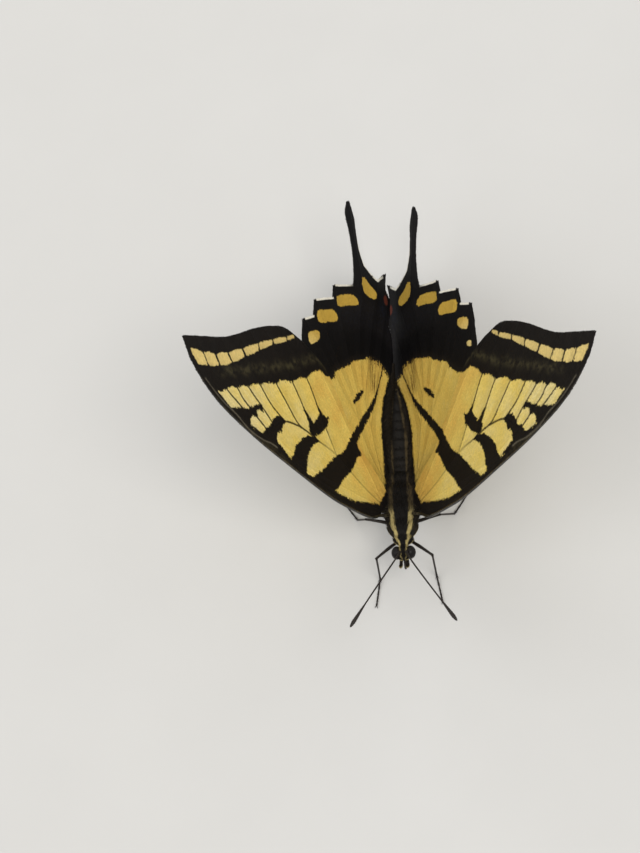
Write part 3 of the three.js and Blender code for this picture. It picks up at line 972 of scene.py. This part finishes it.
def wing_coat(wing, pose, name, face, seed):
    """The scales of one face, laid like roof tiles in rows from the root to the margin"""
    random = np.random.default_rng(seed)
    points, facing = wing.places(pose, face)
    s, t, in_fringe = scale_roots(points, random)
    count = len(s)
    step = 0.5 / LATTICE
    here = sampled(points, s, t)
    ahead, beside = sampled(points, s + step, t), sampled(points, s, t + step)
    normal = unit(sampled(facing, s, t))
    outward = ahead - sampled(points, s - step, t)
    outward = unit(outward - normal * (outward * normal).sum(-1, keepdims=True))
    sideways = np.cross(normal, outward)
    swing = random.normal(0, 0.1, count)[:, None]
    along = outward * np.cos(swing) + sideways * np.sin(swing)
    across = sideways * np.cos(swing) - outward * np.sin(swing)
    long = np.where(in_fringe, FRINGE, ROW_GAP * 1.75)
    long *= 0.85 + 0.3 * random.random(count)
    wide = np.where(in_fringe, FRINGE_GAP * 1.4, SCALE_GAP * 1.2)
    wide *= 0.9 + 0.2 * random.random(count)
    tilt = 0.035 + 0.03 * random.random(count)
    rise = 0.012 + SCALE_SHAPE[:, 1] ** 0.8 * tilt[:, None]
    corners = (here[:, None] + along[:, None] * (SCALE_SHAPE[:, 1] * long[:, None])[..., None]
               + across[:, None] * (SCALE_SHAPE[:, 0] * wide[:, None])[..., None]
               + normal[:, None] * rise[..., None])
    span_s = long / np.maximum(np.linalg.norm(ahead - here, axis=-1) / step, 5)
    span_t = wide / np.maximum(np.linalg.norm(beside - here, axis=-1) / step, 2)
    corner_s = np.minimum(s[:, None] + SCALE_SHAPE[:, 1] * span_s[:, None] * 0.75, 1).ravel()
    corner_t = np.clip(t[:, None] + SCALE_SHAPE[:, 0] * span_t[:, None] * 0.6, 0, 1).ravel()
    held = {label: sampled(field, corner_s, corner_t) for label, field in wing.marks[face].items()}
    below = np.full(corner_s.shape, float(face == "under"))
    held["lie"] = np.stack([corner_s, corner_t, below], -1)
    held["tone"] = random.random(count)
    plan = np.stack([sampled(wing.p, s, t), sampled(wing.q, s, t)], -1)
    patch = (plan[:, None] + UNWRAP_SHIFT) / UNWRAP_SIZE + SCALE_SHAPE * PATCH
    mesh = joined(name, corners, SCALE_FACES, held, patch)
    grow_object(name, mesh, scale_finish)


# The forewings: long triangles hinged to the middle of the thorax, with a stout front edge.
# Yellow with four black bars from the front edge, the first right across the wing, black
# borders, and a row of eight pale spots.
FORE_INNER = [(0, -1.7), (2.5, -1.75), (5.5, -1.35), (9.5, -0.8), (15, -1.1), (21, -1.7),
              (24.5, -0.9), (27.8, 0.8)]
FORE_COSTA = [(0, 2.9), (1, 5.2), (4.5, 8.9), (8.5, 12.5), (16, 17.8), (23.5, 22.8), (31.2, 26.9),
              (37.2, 28.2), (41.4, 27.4)]
FORE_MARGIN = [(27.8, 0.8), (31.2, 3.6), (33, 6.8), (34.1, 9.5), (35, 12.2), (36, 15.9),
               (37.2, 19.4), (39.2, 23.3), (41.4, 27.4)]
FORE_VEINS = {
    "costa": [(0.2, 2.2), (2.5, 5.9), (5, 8.7), (9, 12.3), (16, 17.3), (23.5, 22.3), (31.2, 26.5),
              (37.4, 27.9)],
    "subcosta": [(0.2, 1.6), (4, 6.3), (9, 11.2), (15, 15.9), (22, 20.5), (26, 23.3),
                 (29.4, 25.4)],
    "radius": [(0.2, 1.2), (4, 4.9), (9, 9.7), (13.5, 13.8), (18, 16.7), (21.5, 18.6), (25, 21)],
    "radial third": [(26.6, 22), (28.2, 22.8), (32, 24.3), (36, 25.5), (38, 25.3), (40.2, 25.2)],
    "radial fourth": [(22.6, 19.6), (25.6, 20.6), (27, 21.05), (29, 21.7), (30.9, 21.9),
                      (34.8, 23.2), (36.6, 22.9), (39, 22.9)],
    "radial fifth": [(22.6, 17.7), (25.9, 18.4), (28, 19), (29.9, 19.4), (33.7, 20.3),
                     (35.4, 20.2), (37.5, 20.1)],
    "median first": [(21.8, 14.8), (22.6, 15.2), (25, 16.1), (27, 16.4), (28.5, 16.5), (33, 16.7),
                     (36.2, 16.6)],
    "median third": [(18.2, 10.9), (20.1, 12.1), (23.2, 12.4), (26.8, 12.7), (32.1, 12.8),
                     (35.3, 13)],
    "cubital first": [(15.7, 9.2), (17, 9.6), (20.9, 9), (25.1, 8.7), (31.2, 8.9), (34.1, 9.5)],
    "cubital second": [(12.1, 6.5), (18.4, 5.6), (23.8, 4.7), (29.9, 5.1), (32.5, 5.8)],
    "anal": [(0.4, 0.3), (10, 0.4), (20, 0.2), (27.6, 1.2)],
    "cubitus": [(0.3, 0.8), (5.5, 3.7), (12.1, 6.6), (15.7, 9.2), (18.2, 10.9), (19.9, 12.4),
                (21.8, 14.8), (22.2, 17.4), (22.6, 18.2)],
}
FORE_INKED = ("radial third", "radial fourth", "radial fifth", "median first", "median third",
              "cubital first", "cubital second", "cubitus")
# Where the painted glint runs: a pale grey line inside the black border along the front edge,
# standing in for the light caught by the veins there
FORE_GLINT_LINE = [(20, 19.3), (21.2, 20.2), (22.5, 21.6), (25, 23.4), (28.2, 24.7), (30.4, 25.9),
              (32.8, 26.8), (35, 27.4)]
FORE_BORDER = [(1.2, 1.6), (3.5, 5.2), (5.4, 7.9), (8.5, 10.9), (12.3, 14.2), (14, 15.5),
               (16.9, 17.3), (20.9, 18.8), (23, 20.9), (25, 22.5), (29, 24.9), (32.4, 26.1)]
FORE_BAND = [(32.4, 26.1), (31.8, 25.1), (31.7, 24.0), (31.4, 22.8), (30.7, 21.8), (30.4, 20.5),
             (29.6, 19.2), (29.2, 17.6), (28.4, 16.2), (27.9, 14.6), (26.8, 12.8), (26.4, 10.8),
             (25.1, 8.7), (24.7, 6.7), (23.8, 4.7), (23.6, 2.6), (22.9, 0.4), (21.4, -0.8),
             (20.5, -2.4)]
FORE_BARS = {
    "root": [(1.3, -3), (1.3, 0.2), (0.9, 2.5), (0, 4), (-3, 4), (-3, -3)],
    "first": [(12.3, 14.8), (12.4, 12.6), (12.2, 11.2), (12.1, 8.4), (11.8, 5.9), (11.4, 4),
              (11.6, 2.3), (12.1, -0.2), (12.2, -3), (10.5, -3), (10.5, -0.2), (8.7, 0.0),
              (8.9, 1.2), (8.5, 3.2), (8.4, 5.1), (8.5, 8), (8.6, 11.4)],
    "second": [(16.9, 17.9), (17.4, 16.4), (17.9, 15.1), (18.0, 13.4), (17.8, 12), (17.5, 10.9),
               (16.6, 9.6), (15.7, 9.2), (15.9, 10.9), (15.7, 12.2), (15.3, 13.4), (14.5, 14.6),
               (14, 16)],
    "third": [(22.8, 21.4), (23.3, 19.8), (23.1, 18.3), (23.5, 16.9), (23.2, 15.8), (22.4, 14.9),
              (21.7, 15.1), (21.6, 15.9), (21.1, 16.6), (21.5, 17.6), (20.9, 18.4), (20.2, 19.2)],
    "fourth": [(29.9, 26), (29.2, 24.8), (28.6, 23.8), (28.2, 23), (27.6, 22), (27.3, 21),
               (27, 20.2), (26.8, 19.2), (26.2, 18.3), (25.2, 18.6), (26, 19.3), (26, 19.9),
               (25.5, 20.4), (26, 21.2), (26, 21.9), (25.4, 22.7), (25.1, 24)],
    "spur": [(17.2, 10.3), (16.5, 9), (16.1, 7.4), (16.2, 6.2), (16.1, 5.2), (16.9, 3.8),
             (17.6, 4.8), (19.9, 5.35), (18.5, 5.9), (18.2, 7.3), (18.5, 8.3), (21.2, 9.0),
             (18.9, 9.4), (18.2, 10)],
}
SPOTS_OUTER = [(39.8, 27.4), (38, 25.3), (36.6, 22.9), (35.4, 20.2), (34.3, 16.5), (33.1, 12.3),
               (31.9, 8.4), (30.5, 4.6), (29.8, 2.1)]
SPOTS_INNER = [(37.3, 27.6), (36, 25.5), (34.8, 23.2), (33.7, 20.3), (33, 16.7), (32.1, 12.9),
               (31.2, 8.9), (29.9, 5.2), (29.3, 2.3)]
SPOT_GAP = 0.24
SPOT_ROUND = 0.2


def fore_spots(p, q, gap, spread):
    """Distance to the row of spots between the veins of the border, each with rounded corners"""
    outer, inner = np.array(SPOTS_OUTER), np.array(SPOTS_INNER)
    best = np.full(p.shape, FAR)
    for a, b, c, d in zip(outer, outer[1:], inner[1:], inner):
        share = (gap / 2 + SPOT_ROUND) / np.linalg.norm(b - a)
        a, b = a + (b - a) * share, b - (b - a) * share
        c, d = c + (d - c) * share, d - (d - c) * share
        inward = unit(c + d - a - b) * SPOT_ROUND
        bulge = (a + b - c - d) * 0.04
        outline = np.array([a + inward, (a + b) / 2 + bulge + inward, b + inward,
                            c - inward, (c + d) / 2 - bulge - inward, d - inward])
        best = np.minimum(best, to_shape(p, q, outline) - SPOT_ROUND - spread)
    return best


def paint_forewing(p, q, under):
    """The forewing's markings; the under side is paler, with an unbroken pale band"""
    none = np.zeros(p.shape)
    beyond_border = np.vstack([smooth_line(FORE_BORDER, 4), [(40, 45), (-20, 45), (-20, 1.6)]])
    beyond_band = np.vstack([smooth_line(FORE_BAND, 4),
                             [(20.5, -20), (70, -20), (70, 60), (32.4, 60)]])
    to_border, to_band = to_shape(p, q, beyond_border), to_shape(p, q, beyond_band)
    dark = np.min([nearest_of(p, q, FORE_BARS.values()), to_border, to_band], axis=0)
    depth = np.maximum(-to_band, 0)
    to_vein = nearest_line(p, q, [FORE_VEINS[name] for name in FORE_INKED])
    streaks = np.exp(-((depth - 2.3 + 0.12 * to_vein) / 0.62) ** 2)
    streaks *= (0.45 + 0.55 * ease(to_vein, 0.15, 0.8)) * ease(-q, -25.5, -22)
    by_front_edge = 0.45 * ease(-to_border, 0.5, 1.2) * ease(p, 3, 9)
    # the painted glint along the front veins is light caught there, not a marking of the wing
    to_glint_line = to_line(p, q, smooth_line(FORE_GLINT_LINE, 5))
    marks = {
        "dark": dark,
        "pale": fore_spots(p, q, SPOT_GAP, -0.09),
        "white": none + 1,
        # warmer towards the inner margin: painted warm light reflected between the wings, over the
        # yellow's own tone
        "warm": 0.36 + 0.36 * ease(-q, -8, 0) - 0.3 * ease(q, 16, 24),
        "brown": 0.55 * ease(-p, -5, 0),
        "vein": to_vein,
        "inked": 0.35 + 0.6 * ease(p, 12, 18),
        "painted_glint": 0.35 * np.exp(-(to_glint_line / 0.1) ** 2),
        "painted_shade": none,
        "olive": np.clip(streaks + by_front_edge, 0, 1),
        "blue": none,
        "cold": none,
        "orange": none + 0.12,
        "red": none,
    }
    if under:
        marks["dark"] = dark + 0.14
        marks["pale"] = fore_spots(p, q, 0.0, 0.22)
        marks["warm"] = marks["warm"] - 0.3
    return marks


forewing = Wing(FORE_INNER, FORE_COSTA, even_line(FORE_MARGIN, 401), FORE_VEINS.values(),
                arch=0.45, lift=-0.19, root=0, sweep="fore_sweep", paint=paint_forewing)
for side_name, pose in POSE.items():
    wing_sheet(forewing, pose, "forewing_membrane_" + side_name, 150, 130, "forewing_" + side_name)
    for seed, face in enumerate(FACES):
        wing_coat(forewing, pose, f"forewing_scales_{face}_{side_name}", face, 20 + seed)


# The hindwings: rounded and toothed, hinged to the back of the thorax under the forewings.
# Yellow with one slanting black stripe and a dash, a broad black border dusted with blue, five
# orange-yellow spots and a small dull red one at the inner corner.
HIND_ROOT, HIND_LIFT = 4, -0.61
HIND_INNER = [(1.2, -1.7), (4.5, -1.45), (8.2, -1.15), (12.5, -1.85), (17.3, -4.1), (20, -5.1),
              (24.3, -5.2), (26.5, -4.6), (28.8, -5.2), (30.8, -5.3)]
HIND_COSTA = [(-1.8, 0), (-1.3, 6), (1.5, 12), (6, 16.7), (11.5, 19.2), (16.4, 19.2)]
HIND_MARGIN = [(30.8, -5.3), (32.4, -4.3), (35, -4.6), (32.9, -2.2), (33.4, -0.8), (32, 1.8),
               (29.9, 4.5), (29, 7.2), (28, 10.1), (25.8, 10.5), (24.9, 12.9), (23.8, 15.5),
               (21.1, 15.9), (20.3, 17.4), (19.6, 18.9), (18, 19), (16.4, 19.2)]
HIND_VEINS = {
    "stem": [(0.8, 0.6), (3.4, 3.2), (6, 5), (8, 5.8), (10.7, 6.6)],
    "subcosta": [(0.6, 1), (2.5, 7), (6, 12.5), (11, 17), (15.4, 19.2)],
    "radial": [(8, 5.8), (10.4, 8.6), (13.5, 11.6), (16.8, 15.2), (19.6, 18.9)],
    "median first": [(10.7, 6.6), (13.4, 8.8), (16.5, 11), (20, 13.3), (23.8, 15.5)],
    "median second": [(12, 5.4), (16, 6.9), (20, 8.1), (24, 9.2), (28, 10.1)],
    "median third": [(13, 4), (17, 4.2), (21, 4), (26, 3.2), (30.5, 2.2), (33.4, 2.1)],
    "cubital first": [(11.5, 3.7), (16, 2.6), (22, 1), (28, -0.8), (33, -2.4), (35, -4.6)],
    "cubital second": [(7.5, 2.5), (12, 1.2), (17, -0.5), (26, -3.2), (30.8, -5.2)],
    "anal": [(1.5, -0.2), (7, -0.4), (12, -0.9), (16, -2.6), (20, -4.4), (24.4, -4.7),
             (28.5, -5)],
    "cubitus": [(0.8, 0.2), (4, 1.4), (7.5, 2.5), (11.5, 3.7), (13, 4)],
    "cross": [(10.7, 6.6), (12, 5.4), (13, 4)],
}
HIND_BORDER = [(7, 22), (10, 15.4), (10.5, 14.6), (11.2, 13.4), (12.2, 12.5), (12.8, 11.8),
               (12.7, 11.5), (13.4, 11.5), (14.2, 10.8), (15.1, 9.2), (16, 7.6), (17, 6.4),
               (17.8, 4.6), (18.6, 2.8), (19, 0.4), (18.8, -1.6), (17.8, -3.2), (16, -4.6)]
HIND_STRIPE = [(3.4, 7.9), (6, 6), (8, 4.4), (10, 2.8), (12, 1.3), (14, 0.2), (16, -0.8),
               (18, -1.8), (20, -2.8)]
HIND_STRIPE_WIDTHS = [1.6, 1.35, 1.2, 1.1, 0.75, 0.4, 0.25, 0.3, 0.8]
HIND_DASH = [(10.5, 6.6), (11.7, 5.5), (12.8, 4.3)]
HIND_SPOTS = {
    "first": [(13.2, 18.3), (13.9, 18.2), (14.4, 17.2), (13.9, 16.9), (13.3, 17.6)],
    "second": [(16.4, 17.1), (17.1, 17.8), (18.1, 17.6), (19.1, 15.2), (18.5, 14.7),
               (17.5, 15.4)],
    "third": [(20.6, 14.4), (21.3, 15.2), (22.4, 14.9), (23.2, 13), (23.9, 11), (23.4, 9.8),
              (22.3, 10.1), (21.6, 12)],
    "fourth": [(25, 9.2), (25.7, 9.8), (26.6, 9.4), (27.6, 7.2), (28.3, 5), (27.9, 3.8),
               (27, 3.9), (26.2, 6.2)],
    "fifth": [(29.9, 2), (31, 2.3), (32.1, 2.1), (32.2, 1.2), (31.7, 0), (31.3, -1), (30.6, -1.6),
              (29.8, -1.3), (29.5, -0.3), (29.6, 1)],
}
WHITE_FRINGES = [
    [(19.8, 18.4), (20.3, 17.4), (21.1, 15.9)], [(23.9, 15.2), (24.9, 12.9), (25.8, 10.5)],
    [(28.1, 9.8), (29, 7.2), (29.9, 4.8)], [(33.3, -0.9), (32.9, -2.2), (34.2, -3.8)],
]
INNER_EDGE_WIDTHS = (2.6, 1.7, 1.3, 1.3, 2.2, 3, 3)


def paint_hindwing(p, q, under):
    """The hindwing's markings; the under side has a paler, dustier border and larger spots"""
    none = np.zeros(p.shape)
    edge = np.vstack([smooth_line(HIND_BORDER, 4), [(16, -30), (80, -30), (80, 50), (7, 50)]])
    to_border = to_shape(p, q, edge)
    blurred = 1 - 0.72 * ease(-q, -5, -1) * ease(p, 14, 17)
    stripe = to_line(p, q, smooth_line(HIND_STRIPE, 5), HIND_STRIPE_WIDTHS)
    dash = to_line(p, q, smooth_line(HIND_DASH, 5), (0.55, 0.95, 0.6))
    inner_edge = to_line(p, q, smooth_line(HIND_INNER, 5), INNER_EDGE_WIDTHS)
    dark = np.min([to_border * blurred, stripe, dash, inner_edge * 0.7], axis=0)
    fringes = [to_line(p, q, np.array(line, float)) for line in WHITE_FRINGES]
    beyond = np.maximum(-to_border, 0)
    dust = ease(beyond, 3.5, 6) * ease(-beyond, -11, -8.5) * ease(-q, -13, -7)
    corner = np.exp(-(((p - 30.5) / 1.1) ** 2 + ((q + 4.2) / 0.6) ** 2) * 1.2)
    near_corner = np.exp(-(((p - 29.5) / 1.4) ** 2 + ((q + 3.1) / 0.9) ** 2))
    streaks = np.exp(-((q - 0.9) / 1.3) ** 2) * ease(p, 12.5, 15)
    marks = {
        "dark": dark,
        "pale": nearest_of(p, q, HIND_SPOTS.values()),
        "white": np.min(fringes, axis=0) - 0.07,
        # the rise near the inner margin is painted warm light reflected between the wings
        "warm": 0.5 + 0.16 * ease(p, 9, 15) * ease(-q, -9, -5),
        "brown": np.clip(streaks + 0.5 * ease(-p, -4, 0), 0, 1),
        "vein": nearest_line(p, q, HIND_VEINS.values()),
        "inked": none + 0.14,
        # painted shade darkens the upper face's yellow
        "painted_shade": none + 0.42,
        "painted_glint": none,
        "olive": none + 0.04,
        "blue": np.clip(0.05 * dust + 0.25 * near_corner, 0, 1),
        "cold": 0.75 * (1 - dust * 0.6) * ease(-to_border, 0.2, 1.2),
        "orange": 0.85 * ease(p, 14, 20),
        "red": np.clip(corner * 5 - 2, 0, 1),
    }
    if under:
        marks["dark"] = dark + 0.12
        marks["pale"] = marks["pale"] - 0.35
        marks["warm"] = marks["warm"] - 0.4
        marks["painted_shade"] = none + 0.1
        marks["olive"] = 0.9 * ease(beyond, 0.8, 2.2) * ease(-beyond, -7, -5)
        marks["blue"] = np.clip(0.65 * dust + 0.8 * near_corner, 0, 1)
        marks["cold"] = 0.2 * (1 - dust * 0.6) * ease(-to_border, 0.2, 1.2)
        marks["orange"] = 0.5 * ease(p, 14, 20)
    return marks


def straight_spans(knots, each):
    """Straight cuts between knots, the same number in every span"""
    knots = np.array(knots, float)
    part = np.arange(each)[:, None] / each
    spans = [a + (b - a) * part for a, b in zip(knots, knots[1:])]
    return np.vstack(spans + [knots[-1:]])


hindwing = Wing(HIND_INNER, HIND_COSTA, straight_spans(HIND_MARGIN, 25), HIND_VEINS.values(),
                arch=0, lift=HIND_LIFT, root=HIND_ROOT, sweep="hind_sweep", paint=paint_hindwing)
for side_name, pose in POSE.items():
    wing_sheet(hindwing, pose, "hindwing_membrane_" + side_name, 110, 160, "hindwing_" + side_name)
    for seed, face in enumerate(FACES):
        wing_coat(hindwing, pose, f"hindwing_scales_{face}_{side_name}", face, 30 + seed)


# The tails: one slim strap from each hindwing's margin, drawn out along a vein and rounded at
# its tip, black with a thin yellow-white line along the root of its inner edge.
TAIL_INNER = [(33.05, -0.85), (33.6, -0.65), (34.6, 1.1), (36.8, 2.35), (39.3, 2.95), (41.7, 3.2),
              (43.4, 4.1)]
TAIL_OUTER = [(29.6, 4.4), (30.2, 4.6), (32.2, 4.15), (35.2, 4.1), (38.8, 4.7), (41.7, 5.5),
              (43.3, 5.1)]
TAIL_END = [(43.4, 4.1), (43.75, 4.35), (43.8, 4.6), (43.65, 4.9), (43.3, 5.1)]
TAIL_VEIN = [(31, 2.1), (34.5, 2.9), (38, 3.7), (41.5, 4.3), (43.4, 4.6)]


def paint_tail(p, q, under):
    """The tail's markings: the hindwing's border runs on over it, black but for the light line"""
    marks = paint_hindwing(p, q, under)
    light_line = to_line(p, q, np.array(TAIL_INNER[1:5], float))
    marks["white"] = light_line - 0.24 * ease(-p, -40, -36)
    marks["dark"] = np.full(p.shape, -1.0)
    marks["vein"] = np.full(p.shape, 1.0)
    return marks


tail = Wing(TAIL_INNER, TAIL_OUTER, even_line(TAIL_END, 101), [TAIL_VEIN], arch=0,
            lift=HIND_LIFT - 0.05, root=HIND_ROOT, sweep="hind_sweep", paint=paint_tail)
for side_name, pose in POSE.items():
    wing_sheet(tail, pose, "tail_membrane_" + side_name, 90, 24, "tail_" + side_name)
    for seed, face in enumerate(FACES):
        wing_coat(tail, pose, f"tail_scales_{face}_{side_name}", face, 40 + seed)


# The stout front rib of each forewing, and the knuckles of horn by which each wing is hinged to
# the thorax. The rib is a tapering brown-black tube, smooth and a little shiny.
rib_finish, tree, surface = finish_of("wing_rib", {
    "Roughness": 0.27, "Specular IOR Level": 0.6,
})
places = put(tree, "TexCoord").outputs["Object"]
patchy = step_of(tree, noise(tree, places, 1500, 5), 0.42, 0.68)
rib_tone = blend(tree, patchy, tint(15, 13, 11), tint(52, 47, 35))
tree.links.new(rib_tone, surface.inputs["Base Color"])
grain = put(tree, "TexVoronoi", {"Vector": places, "Scale": 9000}).outputs["Distance"]
emboss(tree, surface, grain, 0.5, 0.02)


def inside_wing(wing, pose, s, t):
    """A point halfway through a wing's thickness"""
    upper, under = wing.places(pose, "upper")[0], wing.places(pose, "under")[0]
    return (sampled(upper, s, t) + sampled(under, s, t)) / 2


RIB_CUTS, KNUCKLE_CUTS = 90, 12
RIB_THICK = ([0, 0.04, 0.3, 0.8, 1], [0.34, 0.26, 0.19, 0.12, 0.05])
KNUCKLES = [
    # wing, share out from the inner margin, and the place in the thorax on the insect's left
    (forewing, 0.45, (1.2, 0.0, -1.0)), (forewing, 0.75, (1.3, -0.9, -0.8)),
    (hindwing, 0.3, (1.0, 4.4, -2.0)), (hindwing, 0.7, (1.1, 3.4, -1.8)),
]
for side_name, pose in POSE.items():
    side = pose["side"]
    edge = inside_wing(forewing, pose, np.linspace(0, 0.97, 40), np.full(40, 0.997))
    front = even_line([(side * 0.9, -0.8, -1.0), (side * 2.0, -1.6, 0.3), *edge], RIB_CUTS)
    rods = [(front, np.interp(np.linspace(0, 1, RIB_CUTS), *RIB_THICK))]
    for wing, share, (x, y, z) in KNUCKLES:
        reach = inside_wing(wing, pose, np.array([0.0, 0.015, 0.035]), np.full(3, share))
        line = even_line([(side * x, y, z), *reach], KNUCKLE_CUTS)
        rods.append((line, np.linspace(0.24, 0.03, KNUCKLE_CUTS)))
    rod_object("wing_ribs_" + side_name, rods, rib_finish)


# The long hair where the wings join: brown-black on the shoulders and at the waist, short on
# the wing roots, and a dense dark fringe along each hindwing's inner margin, over the abdomen.
def strands(roots, facing, ways, side, length, width, droop, random):
    """Hairs started out from their roots: ways are away from the body, back and up"""
    count = len(roots)
    stray = random.normal(0, 0.16, (count, 3))
    lie = unit(np.array([side * ways[0], ways[1], ways[2]]) + stray)
    long = length * (0.6 + 0.7 * random.random(count))
    wide = width * (0.7 + 0.6 * random.random(count))
    return roots, facing, lie, long, wide, np.full(count, droop)


HAIR_ON_WINGS = [
    # wing, face, count, share out along it, share across it, ways, length, droop
    (forewing, "upper", 300, (0, 0.03), (0.05, 1), (0.5, 0.5, 0.5), 0.6, 0.15),
    (forewing, "under", 650, (0, 0.06), (0.05, 1), (0.5, 0.6, 0.1), 1.0, 0.15),
    (hindwing, "upper", 3400, (0, 0.64), (0, 0.03), (-0.9, 0.55, 0.12), 1.7, 0.1),
    (hindwing, "under", 1000, (0, 0.6), (0, 0.05), (-0.2, 0.9, -0.3), 0.9, 0.1),
    (hindwing, "upper", 300, (0, 0.04), (0.04, 0.9), (0.3, 0.8, 0.5), 0.8, 0.15),
    (hindwing, "under", 650, (0, 0.05), (0.04, 1), (0.4, 0.9, -0.1), 0.95, 0.15),
]
HAIR_ON_SKIN = [
    # count, from and to along the body, from and to round it, ways, length, droop
    (1600, (-4.2, 3.6), (0.75, 1.9), (0.6, 0.9, 0.1), 1.15, 0.2),
    (1400, (3.4, 9.5), (0.75, 1.7), (0.7, 0.85, 0.3), 1.1, 0.1),
    (1000, (-1.8, 4.6), (0.95, 1.7), (0.8, 0.65, 0.4), 1.35, 0.05),
]


def between(span, part):
    """The place a share of the way along a span"""
    return span[0] + (span[1] - span[0]) * part


for side_name, pose in POSE.items():
    side = pose["side"]
    random = np.random.default_rng(50)
    parts, spots = [], []
    for k, (wing, face, count, s_span, t_span, ways, length, droop) in enumerate(HAIR_ON_WINGS):
        pairs = scattered(count)
        s, t = between(s_span, pairs[:, 0]), between(t_span, pairs[:, 1])
        points, facing = wing.places(pose, face)
        roots, normal = sampled(points, s, t), unit(sampled(facing, s, t))
        long = length * (1 - 0.7 * ease(s, 0.42, 0.64))
        parts.append(strands(roots, normal, ways, side, long, 0.115, droop, random))
        spots.append(pairs * 0.3 + (0.33 * (k % 3), 0.35 * (k // 3)))
    for k, (count, y_span, angles, ways, length, droop) in enumerate(HAIR_ON_SKIN):
        pairs = scattered(count)
        y, angle = between(y_span, pairs[:, 0]), side * between(angles, pairs[:, 1])
        roots, normal = skin_place(y, angle), skin_normal(y, angle)
        long = length * (0.5 + 0.5 * ease(y, -4.2, -2))
        parts.append(strands(roots, normal, ways, side, long, 0.1, droop, random))
        spots.append(pairs * 0.24 + (0.25 * k, 0.75))
    count = sum(map(len, spots))
    marks = {"stripe": np.full(count, 1.0), "dull": np.full(count, 1.0),
             "brown": 0.15 + 0.5 * random.random(count) ** 2, "tone": random.random(count)}
    roots, facing, lie, long, wide, droop = map(np.concatenate, zip(*parts))
    mesh = grow_tufts("wing_root_hair_" + side_name, roots, facing, lie, long, wide, droop,
                      np.concatenate(spots), marks)
    grow_object("wing_root_hair_" + side_name, mesh, hair_finish)
